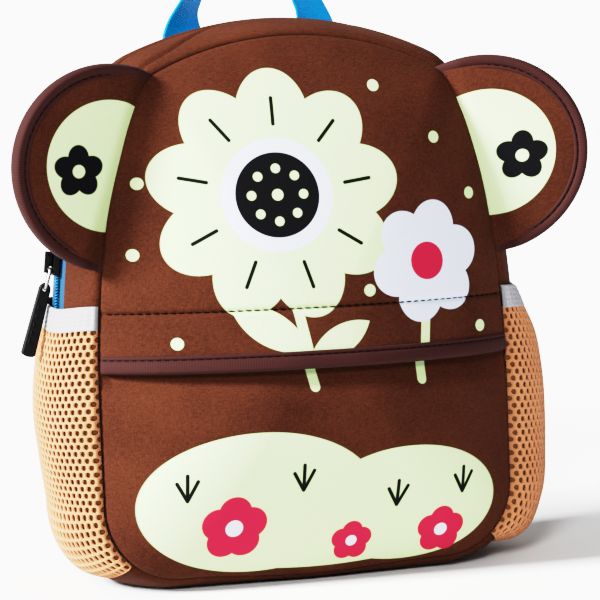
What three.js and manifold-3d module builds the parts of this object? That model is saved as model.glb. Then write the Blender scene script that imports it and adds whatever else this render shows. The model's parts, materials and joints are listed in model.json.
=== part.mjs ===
// A toddler's neoprene backpack with an animal-shaped front: an arched body with round ears, a flap
// over the front pocket, mesh side pockets, an arched zip, a webbing handle and shoulder straps.
// Millimetres, +Z up, front towards -Y. The origin is the middle of the base, on the floor.

import * as THREE from "three";
import { mergeVertices } from "three/addons/utils/BufferGeometryUtils.js";
import Module from "manifold-3d";

const wasm = await Module();
wasm.setup();

// Outline shared by the front and back seams
const SEAM_BASE = 6.5;
const SEAM_TOP = 280;
const HALF_WIDTH = 108;
const CORNER_RADIUS = 38;
const ARCH_RADIUS = 160;
const SHOULDER_X = 73.5;
const SIDE_STRAIGHT_TOP = 100;
const SHOULDER_PULL = 25;
const SIDE_PULL_Z = 165;
const MIDDLE_Z = 135;

// Body depth between the seams, how far the panels dome and how sharply they turn into the seam
const DEPTH = 92;
const FRONT_Y = -DEPTH / 2;
const BACK_Y = DEPTH / 2;
const FRONT_DOME = 37;
const BACK_DOME = 9;
const DOME_POWER = 0.83;
const NEOPRENE = 3;
const GAP = 0.3;
const SEAM_INSET = 0.1;

// Side wall: how far it bulges past the seams at each height, and the shape of that bulge
const WALL_POWER = 0.75;
const WALL_BULGE = [
  { z: 6.5, out: 12 },
  { z: 30, out: 14 },
  { z: 70, out: 17 },
  { z: 200, out: 17 },
  { z: 255, out: 13 },
  { z: 280, out: 11 },
];

// Zip over the arch, measured back from the front seam
const ZIP_END_Z = 120;
const ZIP_OPEN_FRONT = 25;
const ZIP_OPEN_REAR = 47;
const ZIP_MIDDLE = (ZIP_OPEN_FRONT + ZIP_OPEN_REAR) / 2;
const TAPE_OVERLAP = 4;
const TAPE_THICK = 0.9;
const TAPE_SINK = NEOPRENE + 0.6;
const COIL = { width: 5.6, height: 1.8, shoulder: 0.6 };

// Front flap and pocket
const FLAP_TOP_Z = 143;
const FLAP_LOW_Z = 113;
const FLAP_FLARE = 2;
const BINDING = { wall: 1.2, leg: 8, clear: 0.6, end_clear: 2.5 };
const POCKET_TOP_Z = 129;
const POCKET_TUCK = { depth: 8, from_z: 98, to_z: 116, inset: 3.4, inset_slope: 1.3 };
const POCKET_PUFF = 6;

// Ears: discs centred on the front seam, swept forward towards their rims
const EAR = { x: 97, z: 215, radius: 51, thick: 6, root_thick: 2, root_clear: 1.2, root_trim: 0.2 };
const EAR_SWEEP = { start: 1, out: 20, run: 56 };
const EAR_THIN_SHARE = 0.25;
const EAR_LOW = { x: 105.5, z: 166, root_z: 169 };
const EAR_TOP = { x: 73.5, z: 262, root_z: 257 };
const EAR_BINDING = { wall: 1.2, leg: 7, clear: 0.3, end_gap: 4 };

// Mesh side pockets with an elastic mouth; the right one stands fuller
const POCKET = { mouth_z: 148, dip: 4, elastic: 12, mesh: 1.6, band: 1.4, clear: 0.5, edge: 0.6 };
const POCKET_SIDES = [
  {
    name: "left",
    side: -1,
    corner_share: 0.54,
    stand: [
      { along: 0, gap: 1.6 },
      { along: 0.36, gap: 7 },
      { along: 0.72, gap: 1.5 },
      { along: 1, gap: 0 },
    ],
  },
  {
    name: "right",
    side: 1,
    corner_share: 0.51,
    stand: [
      { along: 0, gap: 5 },
      { along: 0.25, gap: 12.5 },
      { along: 0.6, gap: 16.5 },
      { along: 0.85, gap: 15 },
      { along: 1, gap: 2 },
    ],
  },
];

// Zip slider and pull on the left side wall
const SLIDER = { z: 167, width: 10, length: 14, low: -0.6, high: 1.8 };
const BRIDGE = { width: 2.6, low: -6, top: 5, reach: 6.2, bar: 1.3, sunk: 0.8 };
const HINGE = { out: 3.3, down: 3.8 };
const PULL_LEAN = THREE.MathUtils.degToRad(17);
const RING = { half_width: 3.2, length: 10.5, wire: 0.9, corner: 1.6 };
const TAB = { width: 6, thick: 4, length: 34, hole: 1.3, bevel: 0.6 };

// Webbing handle sewn into the back seam
const HANDLE = { x: 38, width: 25, thick: 2, rise: 50, root_clear: 1.3, foot: 0.12 };
const HANDLE_TURN = [
  { along: 0, deg: 0 },
  { along: 0.2, deg: 55 },
  { along: 0.5, deg: 90 },
  { along: 0.8, deg: 35 },
  { along: 1, deg: 0 },
];

// Shoulder straps: a path over the back panel, off being the height of the strap's middle above it
const STRAP_PATH = [
  { x: 38, z: 262, off: 4.6 },
  { x: 42, z: 240, off: 14 },
  { x: 50, z: 205, off: 30 },
  { x: 60, z: 160, off: 38 },
  { x: 70, z: 115, off: 33 },
  { x: 77, z: 75, off: 20 },
  { x: 82, z: 40, off: 8 },
  { x: 83, z: 24, off: 1.6 },
];
const PAD = { share: 0.68, half_thick: 4, flat: 0.86, edge: 0.4 };
const PAD_HALF_WIDTH = [
  { along: 0, half: 17 },
  { along: 0.25, half: 22 },
  { along: 0.75, half: 21 },
  { along: 1, half: 13 },
];
const STRAP_WEB = { half: 10, thick: 1.6 };
const ADJUSTER = { width: 30, length: 20, thick: 3.6, slot: 4, slot_width: 22 };

// Finishes
const BROWN = { color: 0x6e3527, roughness: 0.85, metalness: 0 };
const PLUM = { color: 0x4a2428, roughness: 0.8, metalness: 0 };
const TAN = { color: 0xe9b57c, roughness: 0.9, metalness: 0 };
const WHITE = { color: 0xeeeeee, roughness: 0.8, metalness: 0 };
const BLUE = { color: 0x1480c8, roughness: 0.75, metalness: 0 };
const BLACK = { color: 0x16181c, roughness: 0.5, metalness: 0 };
const STEEL = { color: 0xb8bcc0, roughness: 0.3, metalness: 1 };

const bag = new THREE.Group();
const INSIDE = new THREE.Vector3(0, 0, MIDDLE_Z);

// General helpers

function addMesh(parent, name, geometry, finish) {
  const mesh = new THREE.Mesh(geometry, new THREE.MeshStandardMaterial(finish));
  mesh.name = name;
  parent.add(mesh);
  return mesh;
}

// A value read from a table by its key column, eased between rows
function eased(table, key, value, at) {
  if (at <= table[0][key]) return table[0][value];
  for (let k = 1; k < table.length; k++) {
    const low = table[k - 1];
    const high = table[k];
    if (at <= high[key]) {
      const share = THREE.MathUtils.smoothstep(at, low[key], high[key]);
      return THREE.MathUtils.lerp(low[value], high[value], share);
    }
  }
  return table[table.length - 1][value];
}

// Points and triangles as one closed body, turned so that its faces point out
function closedBody(points, triangles) {
  const normal = new THREE.Vector3();
  let volume = 0;
  for (const [a, b, c] of triangles) {
    volume += points[a].dot(normal.crossVectors(points[b], points[c]));
  }
  const faces = volume > 0 ? triangles : triangles.map(([a, b, c]) => [a, c, b]);
  const geometry = new THREE.BufferGeometry();
  geometry.setFromPoints(points);
  geometry.setIndex(faces.flat());
  geometry.computeVertexNormals();
  return geometry;
}

// A sheet of even thickness. outerAt gives its outer face from shares along and across it. The wall
// grows towards the bag's middle, along rimAt's direction where that gives one.
function sheet(rows, columns, thickness, outerAt, rimAt = () => null) {
  const width = columns + 1;
  const outer = [];
  for (let i = 0; i <= rows; i++) {
    for (let j = 0; j <= columns; j++) {
      outer.push(outerAt(i / rows, j / columns));
    }
  }
  const normals = outer.map((point, k) => {
    const i = Math.floor(k / width);
    const j = k % width;
    const ahead = outer[Math.min(i + 1, rows) * width + j];
    const behind = outer[Math.max(i - 1, 0) * width + j];
    const right = outer[i * width + Math.min(j + 1, columns)];
    const left = outer[i * width + Math.max(j - 1, 0)];
    return ahead.clone().sub(behind).cross(right.clone().sub(left)).normalize();
  });
  const middle = Math.floor(rows / 2) * width + Math.floor(columns / 2);
  const inward = Math.sign(normals[middle].dot(INSIDE.clone().sub(outer[middle])));
  const inner = outer.map((point, k) => {
    const rim = rimAt(Math.floor(k / width) / rows, (k % width) / columns, point);
    if (rim) return point.clone().addScaledVector(rim, -thickness);
    return point.clone().addScaledVector(normals[k], inward * thickness);
  });

  const back = outer.length;
  const triangles = [];
  for (let i = 0; i < rows; i++) {
    for (let j = 0; j < columns; j++) {
      const a = i * width + j;
      const b = a + 1;
      const c = b + width;
      const d = a + width;
      triangles.push([a, b, c], [a, c, d]);
      triangles.push([back + a, back + c, back + b], [back + a, back + d, back + c]);
    }
  }
  const edge = [];
  for (let j = 0; j < columns; j++) edge.push(j);
  for (let i = 0; i < rows; i++) edge.push(i * width + columns);
  for (let j = columns; j > 0; j--) edge.push(rows * width + j);
  for (let i = rows; i > 0; i--) edge.push(i * width);
  edge.forEach((a, k) => {
    const b = edge[(k + 1) % edge.length];
    triangles.push([b, a, back + a], [b, back + a, back + b]);
  });
  return closedBody([...outer, ...inner], triangles);
}

// A closed profile carried through frames, capped at both ends or joined round into a ring
function sweep(profile, frames, ring = false) {
  const outline = THREE.ShapeUtils.isClockWise(profile) ? [...profile].reverse() : profile;
  const count = outline.length;
  const points = [];
  for (const { origin, across, out } of frames) {
    for (const p of outline) {
      points.push(origin.clone().addScaledVector(across, p.x).addScaledVector(out, p.y));
    }
  }
  const triangles = [];
  const spans = ring ? frames.length : frames.length - 1;
  for (let k = 0; k < spans; k++) {
    const here = k * count;
    const next = ((k + 1) % frames.length) * count;
    for (let m = 0; m < count; m++) {
      const n = (m + 1) % count;
      triangles.push([here + m, here + n, next + n], [here + m, next + n, next + m]);
    }
  }
  if (!ring) {
    const last = (frames.length - 1) * count;
    for (const [a, b, c] of THREE.ShapeUtils.triangulateShape(outline, [])) {
      triangles.push([c, b, a], [last + a, last + b, last + c]);
    }
  }
  return closedBody(points, triangles);
}

// A folded tape's section: two walls and a fold round an edge. x runs from the edge into the
// sheet, y runs from the sheet's outer face outwards.
function foldedTape(sheetThick, { wall, leg, clear }) {
  const top = clear + wall;
  const low = -sheetThick - clear - wall;
  return [
    new THREE.Vector2(leg, top),
    new THREE.Vector2(-clear, top),
    new THREE.Vector2(-clear - wall, top - wall),
    new THREE.Vector2(-clear - wall, low + wall),
    new THREE.Vector2(-clear, low),
    new THREE.Vector2(leg, low),
    new THREE.Vector2(leg, low + wall),
    new THREE.Vector2(-clear, low + wall),
    new THREE.Vector2(-clear, clear),
    new THREE.Vector2(leg, clear),
  ];
}

function solidOf(geometry) {
  const bare = geometry.clone();
  bare.deleteAttribute("normal");
  bare.deleteAttribute("uv");
  const merged = mergeVertices(bare, 1e-4);
  return new wasm.Manifold(
    new wasm.Mesh({
      numProp: 3,
      vertProperties: new Float32Array(merged.attributes.position.array),
      triVerts: new Uint32Array(merged.index.array),
    }),
  );
}

function geometryOf(solid) {
  const mesh = solid.getMesh();
  const geometry = new THREE.BufferGeometry();
  geometry.setAttribute("position", new THREE.BufferAttribute(mesh.vertProperties, 3));
  geometry.setIndex(new THREE.BufferAttribute(mesh.triVerts, 1));
  geometry.computeVertexNormals();
  return geometry;
}

// The seam outline: its place is q, the length along it from the top, positive on the right

const seamHalf = new THREE.Path();
seamHalf.moveTo(0, SEAM_TOP);
seamHalf.absarc(
  0, SEAM_TOP - ARCH_RADIUS, ARCH_RADIUS, Math.PI / 2, Math.acos(SHOULDER_X / ARCH_RADIUS), true,
);
const shoulder = seamHalf.currentPoint.clone();
const shoulderTurn = Math.asin(SHOULDER_X / ARCH_RADIUS);
seamHalf.bezierCurveTo(
  shoulder.x + SHOULDER_PULL * Math.cos(shoulderTurn),
  shoulder.y - SHOULDER_PULL * Math.sin(shoulderTurn),
  HALF_WIDTH, SIDE_PULL_Z, HALF_WIDTH, SIDE_STRAIGHT_TOP,
);
seamHalf.lineTo(HALF_WIDTH, SEAM_BASE + CORNER_RADIUS);
seamHalf.absarc(
  HALF_WIDTH - CORNER_RADIUS, SEAM_BASE + CORNER_RADIUS, CORNER_RADIUS, 0, -Math.PI / 2, true,
);
seamHalf.lineTo(0, SEAM_BASE);
const SEAM_HALF = seamHalf.getLength();
const BASE_RUN = HALF_WIDTH - CORNER_RADIUS;
const CORNER_RUN = (Math.PI / 2) * CORNER_RADIUS;
const Q_CORNER = SEAM_HALF - BASE_RUN - CORNER_RUN;
const Q_CORNER_MIDDLE = Q_CORNER + CORNER_RUN / 2;

function seamAt(q) {
  const wrapped = q > SEAM_HALF ? q - 2 * SEAM_HALF : q;
  const p = seamHalf.getPoint(Math.min(Math.abs(wrapped) / SEAM_HALF, 1));
  return new THREE.Vector3(Math.sign(wrapped) * p.x, 0, p.y);
}

function seamNormalAt(q) {
  const step = 0.5;
  const along = seamAt(q + step).sub(seamAt(q - step)).normalize();
  return new THREE.Vector3(-along.z, 0, along.x);
}

function qAtHeight(z) {
  let high = 0;
  let low = Q_CORNER_MIDDLE;
  while (low - high > 0.01) {
    const middle = (low + high) / 2;
    if (seamAt(middle).z > z) high = middle;
    else low = middle;
  }
  return low;
}

const Q_SHOULDER = ARCH_RADIUS * shoulderTurn;
const Q_FLAP = qAtHeight(FLAP_TOP_Z);
const Q_ZIP_END = qAtHeight(ZIP_END_Z);

// Panels: their height off the seam plane falls from the middle to the rim

const RIM_STEPS = 240;
const rim = Array.from({ length: RIM_STEPS + 1 }, (unused, k) => {
  const p = seamAt((SEAM_HALF * (RIM_STEPS - k)) / RIM_STEPS);
  return { angle: Math.atan2(p.z - MIDDLE_Z, p.x), radius: Math.hypot(p.x, p.z - MIDDLE_Z) };
});

function domeShare(x, z) {
  const angle = Math.atan2(z - MIDDLE_Z, Math.abs(x));
  let k = 1;
  while (k < RIM_STEPS && rim[k].angle < angle) k++;
  const share = (angle - rim[k - 1].angle) / (rim[k].angle - rim[k - 1].angle);
  const radius = THREE.MathUtils.lerp(rim[k - 1].radius, rim[k].radius, share);
  const reach = Math.hypot(x, z - MIDDLE_Z) / radius;
  return Math.pow(Math.max(0, 1 - reach * reach), DOME_POWER);
}

const frontY = (x, z) => FRONT_Y - FRONT_DOME * domeShare(x, z);
const backY = (x, z) => BACK_Y + BACK_DOME * domeShare(x, z);

function tuckAt(z) {
  return POCKET_TUCK.depth * THREE.MathUtils.smoothstep(z, POCKET_TUCK.from_z, POCKET_TUCK.to_z);
}

function pocketY(x, z) {
  const share = (z - SEAM_BASE) / (POCKET_TUCK.to_z - SEAM_BASE);
  const rise = Math.sin(Math.PI * THREE.MathUtils.clamp(share, 0, 1));
  return frontY(x, z) + tuckAt(z) - POCKET_PUFF * domeShare(x, z) * rise;
}

// A seam point drawn in slightly, so that sewn pieces keep apart
function panelEdge(q) {
  return seamAt(q).addScaledVector(seamNormalAt(q), -SEAM_INSET);
}

// The direction of every seam edge through its thickness: halfway between panel and side wall
function seamRim(point, front) {
  const radial = new THREE.Vector3(point.x, 0, point.z - MIDDLE_Z).normalize();
  radial.y = front ? -1 : 1;
  return radial.normalize();
}

// A four-sided patch between edges, each given by its share from left to right or low to high
function patch({ low, high, left, right }) {
  const corner = [low(0), low(1), high(0), high(1)];
  return (u, v) => {
    const point = new THREE.Vector3();
    point.addScaledVector(low(u), 1 - v).addScaledVector(high(u), v);
    point.addScaledVector(left(v), 1 - u).addScaledVector(right(v), u);
    point.addScaledVector(corner[0], -(1 - u) * (1 - v)).addScaledVector(corner[1], -u * (1 - v));
    point.addScaledVector(corner[2], -(1 - u) * v).addScaledVector(corner[3], -u * v);
    return point;
  };
}

const between = (a, b) => (share) => THREE.MathUtils.lerp(a, b, share);
const seamRun = (a, b) => (share) => panelEdge(between(a, b)(share));
const levelRun = (z) => {
  const half = panelEdge(qAtHeight(z)).x;
  return (share) => new THREE.Vector3(between(-half, half)(share), 0, z);
};

// One neoprene panel laid on a surface, its listed sides being sewn seams
function panel(rows, columns, edges, surfaceY, front, sewn) {
  const at = patch(edges);
  const outerAt = (v, u) => {
    const point = at(u, v);
    point.y = surfaceY(point.x, point.z);
    return point;
  };
  const rimAt = (v, u, point) => {
    const onSeam = u === 0 || u === 1 || (v === 0 && sewn.low) || (v === 1 && sewn.high);
    return onSeam ? seamRim(point, front) : null;
  };
  return sheet(rows, columns, NEOPRENE, outerAt, rimAt);
}

function addPanels() {
  const upper = {
    low: levelRun(FLAP_TOP_Z),
    high: seamRun(-Q_SHOULDER, Q_SHOULDER),
    left: seamRun(-Q_FLAP, -Q_SHOULDER),
    right: seamRun(Q_FLAP, Q_SHOULDER),
  };
  addMesh(bag, "upper_panel", panel(10, 18, upper, frontY, true, { high: true }), BROWN);

  const q_pocket = qAtHeight(POCKET_TOP_Z);
  const bottom = (share) => {
    const q = between(Q_CORNER_MIDDLE, 2 * SEAM_HALF - Q_CORNER_MIDDLE)(1 - share);
    return panelEdge(q);
  };
  const tuckedRun = (a, b) => (share) => {
    const q = between(a, b)(share);
    const inset = Math.min(POCKET_TUCK.inset_slope * tuckAt(seamAt(q).z), POCKET_TUCK.inset);
    return panelEdge(q).addScaledVector(seamNormalAt(q), -inset);
  };
  const left = tuckedRun(-Q_CORNER_MIDDLE, -q_pocket);
  const right = tuckedRun(Q_CORNER_MIDDLE, q_pocket);
  const pocket = {
    low: bottom,
    high: (share) => left(1).lerp(right(1), share),
    left,
    right,
  };
  addMesh(bag, "pocket_panel", panel(10, 18, pocket, pocketY, true, { low: true }), BROWN);

  const back = {
    low: bottom,
    high: seamRun(-Q_SHOULDER, Q_SHOULDER),
    left: seamRun(-Q_CORNER_MIDDLE, -Q_SHOULDER),
    right: seamRun(Q_CORNER_MIDDLE, Q_SHOULDER),
  };
  const sewn = { low: true, high: true };
  addMesh(bag, "back_panel", panel(10, 14, back, backY, false, sewn), BROWN);
}

// Flap: a strip that carries on down from the upper panel and stands off the pocket at its hem

function flapAt(u, z) {
  const half = panelEdge(qAtHeight(z)).x;
  const x = between(-half, half)(u);
  const hang = (FLAP_TOP_Z - z) / (FLAP_TOP_Z - FLAP_LOW_Z);
  const flare = FLAP_FLARE * hang * Math.min(1, 2 * domeShare(x, z));
  return new THREE.Vector3(x, frontY(x, z) - flare, z);
}

function addFlap() {
  const columns = 18;
  const outerAt = (v, u) => flapAt(u, between(FLAP_LOW_Z, FLAP_TOP_Z - GAP)(v));
  const rimAt = (v, u, point) => (u === 0 || u === 1 ? seamRim(point, true) : null);
  addMesh(bag, "pocket_flap", sheet(3, columns, NEOPRENE, outerAt, rimAt), BROWN);

  const inset = BINDING.end_clear / (2 * HALF_WIDTH);
  const frames = Array.from({ length: columns + 1 }, (unused, k) => {
    const u = between(inset, 1 - inset)(k / columns);
    const step = 0.01;
    const origin = flapAt(u, FLAP_LOW_Z);
    const across = flapAt(u, FLAP_LOW_Z + 1).sub(origin).normalize();
    const along = flapAt(u + step, FLAP_LOW_Z).sub(flapAt(u - step, FLAP_LOW_Z));
    const out = along.cross(across).normalize();
    return { origin, across, out };
  });
  addMesh(bag, "flap_binding", sweep(foldedTape(NEOPRENE, BINDING), frames), PLUM);
}

// Side wall: a bulging strip between the seams, flattened where it stands on the floor

function wallSurface(q, depth) {
  const seam = seamAt(q);
  const u = (2 * depth) / DEPTH - 1;
  const swell = Math.pow(Math.max(0, 1 - u * u), WALL_POWER);
  const out = eased(WALL_BULGE, "z", "out", seam.z) * swell;
  const point = seam.addScaledVector(seamNormalAt(q), out);
  point.y = FRONT_Y + depth;
  point.z = Math.max(0, point.z);
  return point;
}

function wallNormal(q, depth) {
  const step = 0.5;
  const along = wallSurface(q + step, depth).sub(wallSurface(q - step, depth));
  const front = Math.max(depth - step, 0);
  const rear = Math.min(depth + step, DEPTH);
  const back = wallSurface(q, rear).sub(wallSurface(q, front));
  return along.cross(back).normalize();
}

const wallLifted = (q, depth, lift) => {
  return wallSurface(q, depth).addScaledVector(wallNormal(q, depth), lift);
};

// Part of the side wall between two places along the seam and two depths
function wallStrip(rows, columns, fromQ, toQ, fromDepth, toDepth) {
  const outerAt = (v, u) => wallSurface(between(fromQ, toQ)(v), between(fromDepth, toDepth)(u));
  const rimAt = (v, u) => {
    const q = between(fromQ, toQ)(v);
    if (u === 0 && fromDepth < 1) return seamRim(seamAt(q), true);
    if (u === 1 && toDepth > DEPTH - 1) return seamRim(seamAt(q), false);
    return null;
  };
  return sheet(rows, columns, NEOPRENE, outerAt, rimAt);
}

function addSideWall() {
  const front = SEAM_INSET;
  const rear = DEPTH - SEAM_INSET;
  const q = Q_ZIP_END;
  addMesh(bag, "gusset_front_strip", wallStrip(40, 4, -q, q, front, ZIP_OPEN_FRONT), BROWN);
  addMesh(bag, "gusset_rear_strip", wallStrip(40, 4, -q, q, ZIP_OPEN_REAR, rear), BROWN);
  const base = wallStrip(36, 9, q + GAP, 2 * SEAM_HALF - q - GAP, front, rear);
  addMesh(bag, "gusset_base", base, BROWN);
}

function addZip() {
  const steps = 36;
  const from = ZIP_OPEN_FRONT - TAPE_OVERLAP;
  const to = ZIP_OPEN_REAR + TAPE_OVERLAP;
  const tapeAt = (v, u) => {
    return wallLifted(between(-Q_ZIP_END, Q_ZIP_END)(v), between(from, to)(u), -TAPE_SINK);
  };
  addMesh(bag, "zip_tape", sheet(steps, 2, TAPE_THICK, tapeAt), BLUE);

  const half = COIL.width / 2;
  const crown = half * COIL.shoulder;
  const profile = [
    new THREE.Vector2(-half, 0),
    new THREE.Vector2(half, 0),
    new THREE.Vector2(half, COIL.height * COIL.shoulder),
    new THREE.Vector2(crown, COIL.height),
    new THREE.Vector2(-crown, COIL.height),
    new THREE.Vector2(-half, COIL.height * COIL.shoulder),
  ];
  const frames = Array.from({ length: steps + 1 }, (unused, k) => {
    const q = between(-Q_ZIP_END, Q_ZIP_END)(k / steps);
    const out = wallNormal(q, ZIP_MIDDLE);
    const across = wallSurface(q, ZIP_MIDDLE + 1).sub(wallSurface(q, ZIP_MIDDLE - 1)).normalize();
    return { origin: wallLifted(q, ZIP_MIDDLE, GAP - TAPE_SINK), across, out };
  });
  addMesh(bag, "zip_coil", sweep(profile, frames), BLUE);
}

// Ears

// The ear's middle surface comes forward with the distance from the line of its root
function earY(x, z) {
  const chord = new THREE.Vector2(EAR_TOP.x - EAR_LOW.x, EAR_TOP.z - EAR_LOW.z).normalize();
  const reach = (x - EAR_LOW.x) * chord.y - (z - EAR_LOW.z) * chord.x;
  return FRONT_Y - EAR_SWEEP.start - (EAR_SWEEP.out * Math.max(0, reach)) / EAR_SWEEP.run;
}

const EAR_LOW_ANGLE = Math.atan2(EAR_LOW.z - EAR.z, EAR_LOW.x - EAR.x);
const EAR_TOP_ANGLE = Math.atan2(EAR_TOP.z - EAR.z, EAR_TOP.x - EAR.x);

function earPoint(angle, radius) {
  const x = EAR.x + radius * Math.cos(angle);
  const z = EAR.z + radius * Math.sin(angle);
  return new THREE.Vector3(x, earY(x, z), z);
}

function addEar(name, side) {
  const padRadius = EAR.radius - EAR_BINDING.wall - EAR_BINDING.clear;
  const mirrored = (point) => {
    point.x *= side;
    return point;
  };
  const forward = earNormal();
  const rootAt = (v) => {
    const q = between(qAtHeight(EAR_LOW.root_z), qAtHeight(EAR_TOP.root_z))(v);
    const point = seamAt(q).addScaledVector(seamNormalAt(q), EAR.root_clear);
    point.y = earY(point.x, point.z);
    return point;
  };
  const thickAt = (u) => {
    return between(EAR.root_thick, EAR.thick)(THREE.MathUtils.smoothstep(u, 0, EAR_THIN_SHARE));
  };
  const padAt = (v, u) => {
    const angle = between(EAR_LOW_ANGLE + EAR.root_trim, EAR_TOP_ANGLE - EAR.root_trim)(v);
    const point = rootAt(v).lerp(earPoint(angle, padRadius), u);
    return mirrored(point.addScaledVector(forward, thickAt(u) / 2));
  };
  const facing = mirrored(forward.clone());
  const wallAt = (v, u) => facing.clone().multiplyScalar(thickAt(u) / EAR.thick);
  const pad = sheet(14, 5, EAR.thick, padAt, wallAt);
  addMesh(bag, `ear_${name}`, pad, BROWN);

  const steps = 20;
  const endTrim = EAR_BINDING.end_gap / EAR.radius;
  const frames = Array.from({ length: steps + 1 }, (unused, k) => {
    const angle = between(EAR_LOW_ANGLE + endTrim, EAR_TOP_ANGLE - endTrim)(k / steps);
    const edge = earPoint(angle, padRadius);
    const across = earPoint(angle, padRadius - 1).sub(edge).normalize();
    const origin = edge.addScaledVector(forward, EAR.thick / 2);
    return { origin: mirrored(origin), across: mirrored(across), out: facing };
  });
  addMesh(bag, `ear_binding_${name}`, sweep(foldedTape(EAR.thick, EAR_BINDING), frames), PLUM);
}

// The ear is a flat swept plane, so one direction faces forward all over it
function earNormal() {
  const a = earPoint(0, EAR.radius);
  const b = earPoint(0, EAR.radius / 2);
  const c = earPoint(Math.PI / 4, EAR.radius);
  const normal = b.sub(a).cross(c.sub(a)).normalize();
  return normal.y < 0 ? normal : normal.negate();
}

// Mesh side pockets: they stand off the side wall between the seams and close round the corner

function addSidePocket({ name, side, corner_share, stand }) {
  const mouth = qAtHeight(POCKET.mouth_z);
  const end = Q_CORNER + CORNER_RUN * corner_share;
  const depthAt = between(POCKET.edge, DEPTH - POCKET.edge);
  const swellAt = (u) => Math.pow(Math.sin(Math.PI * u), WALL_POWER);
  const meshAt = (v, u) => {
    const top = mouth + POCKET.elastic + GAP + POCKET.dip * swellAt(u);
    const q = between(top, end)(v);
    const gap = eased(stand, "along", "gap", v) * swellAt(u);
    return wallLifted(side * q, depthAt(u), POCKET.clear + POCKET.mesh + gap);
  };
  addMesh(bag, `side_pocket_${name}`, sheet(14, 10, POCKET.mesh, meshAt), TAN);

  const bandAt = (v, u) => {
    const q = mouth + POCKET.dip * swellAt(u) + POCKET.elastic * v;
    const gap = stand[0].gap * swellAt(u);
    return wallLifted(side * q, depthAt(u), POCKET.clear + POCKET.band + gap);
  };
  addMesh(bag, `pocket_elastic_${name}`, sheet(1, 10, POCKET.band, bandAt), WHITE);
}

// Zip slider with a bridge, and the ring and tab that swing on it

function extrudedAlongY(shape, width, bevel = 0) {
  const geometry = new THREE.ExtrudeGeometry(shape, {
    depth: width - 2 * bevel,
    bevelEnabled: bevel > 0,
    bevelThickness: bevel,
    bevelSize: bevel,
    bevelOffset: -bevel,
    bevelSegments: 1,
    curveSegments: 6,
  });
  geometry.translate(0, 0, bevel - width / 2);
  geometry.rotateX(Math.PI / 2);
  return geometry;
}

function rectangle(target, x0, y0, x1, y1) {
  target.moveTo(x0, y0);
  target.lineTo(x1, y0);
  target.lineTo(x1, y1);
  target.lineTo(x0, y1);
  target.closePath();
  return target;
}

function sliderGeometry() {
  const { low, high, length, width } = SLIDER;
  const plate = new THREE.Shape();
  rectangle(plate, low, -length / 2, high, length / 2);
  const bridge = new THREE.Shape();
  rectangle(bridge, high - BRIDGE.sunk, BRIDGE.low, BRIDGE.reach, BRIDGE.top);
  const hole = new THREE.Path();
  rectangle(hole, high, BRIDGE.low + BRIDGE.bar, BRIDGE.reach - BRIDGE.bar, BRIDGE.top - BRIDGE.bar);
  bridge.holes.push(hole);
  const plateSolid = solidOf(extrudedAlongY(plate, width));
  return geometryOf(plateSolid.add(solidOf(extrudedAlongY(bridge, BRIDGE.width))));
}

// The ring's wire follows a rounded rectangle whose top bar lies on the hinge
function ringGeometry() {
  const { half_width, length, wire, corner } = RING;
  const centres = [
    { y: half_width - corner, z: -corner, from: 0 },
    { y: corner - half_width, z: -corner, from: 1 },
    { y: corner - half_width, z: corner - length, from: 2 },
    { y: half_width - corner, z: corner - length, from: 3 },
  ];
  const frames = [];
  for (const { y, z, from } of centres) {
    for (let k = 0; k <= 3; k++) {
      const angle = ((from + k / 3) * Math.PI) / 2;
      const across = new THREE.Vector3(0, Math.cos(angle), Math.sin(angle));
      const origin = new THREE.Vector3(0, y, z).addScaledVector(across, corner);
      frames.push({ origin, across, out: new THREE.Vector3(1, 0, 0) });
    }
  }
  const sides = 8;
  const profile = Array.from({ length: sides }, (unused, k) => {
    const angle = (2 * Math.PI * k) / sides;
    return new THREE.Vector2(wire * Math.cos(angle), wire * Math.sin(angle));
  });
  return sweep(profile, frames, true);
}

function tabGeometry() {
  const half = TAB.width / 2;
  const shape = new THREE.Shape();
  shape.absarc(0, 0, half, 0, Math.PI, false);
  shape.absarc(0, -TAB.length, half, Math.PI, 2 * Math.PI, false);
  shape.closePath();
  const hole = new THREE.Path();
  hole.absarc(0, 0, TAB.hole, 0, 2 * Math.PI, true);
  shape.holes.push(hole);
  return extrudedAlongY(shape, TAB.thick, TAB.bevel);
}

function addZipPull() {
  const q = -qAtHeight(SLIDER.z);
  const out = seamNormalAt(q);
  const up = new THREE.Vector3(-out.z, 0, out.x).negate();
  const across = up.clone().cross(out);
  const slider = new THREE.Group();
  slider.position.copy(wallSurface(q, ZIP_MIDDLE));
  slider.quaternion.setFromRotationMatrix(new THREE.Matrix4().makeBasis(out, across, up));
  bag.add(slider);
  addMesh(slider, "zip_slider", sliderGeometry(), BLACK);

  const pull = new THREE.Group();
  pull.position.copy(slider.position);
  pull.position.addScaledVector(out, HINGE.out).addScaledVector(up, -HINGE.down);
  pull.rotation.y = PULL_LEAN;
  bag.add(pull);
  addMesh(pull, "pull_ring", ringGeometry(), STEEL);
  const tab = addMesh(pull, "pull_tab", tabGeometry(), BLACK);
  tab.position.z = -RING.length;
}

// Handle: a loop whose webbing lies flat at its ends and turns edge-on at the top

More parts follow.
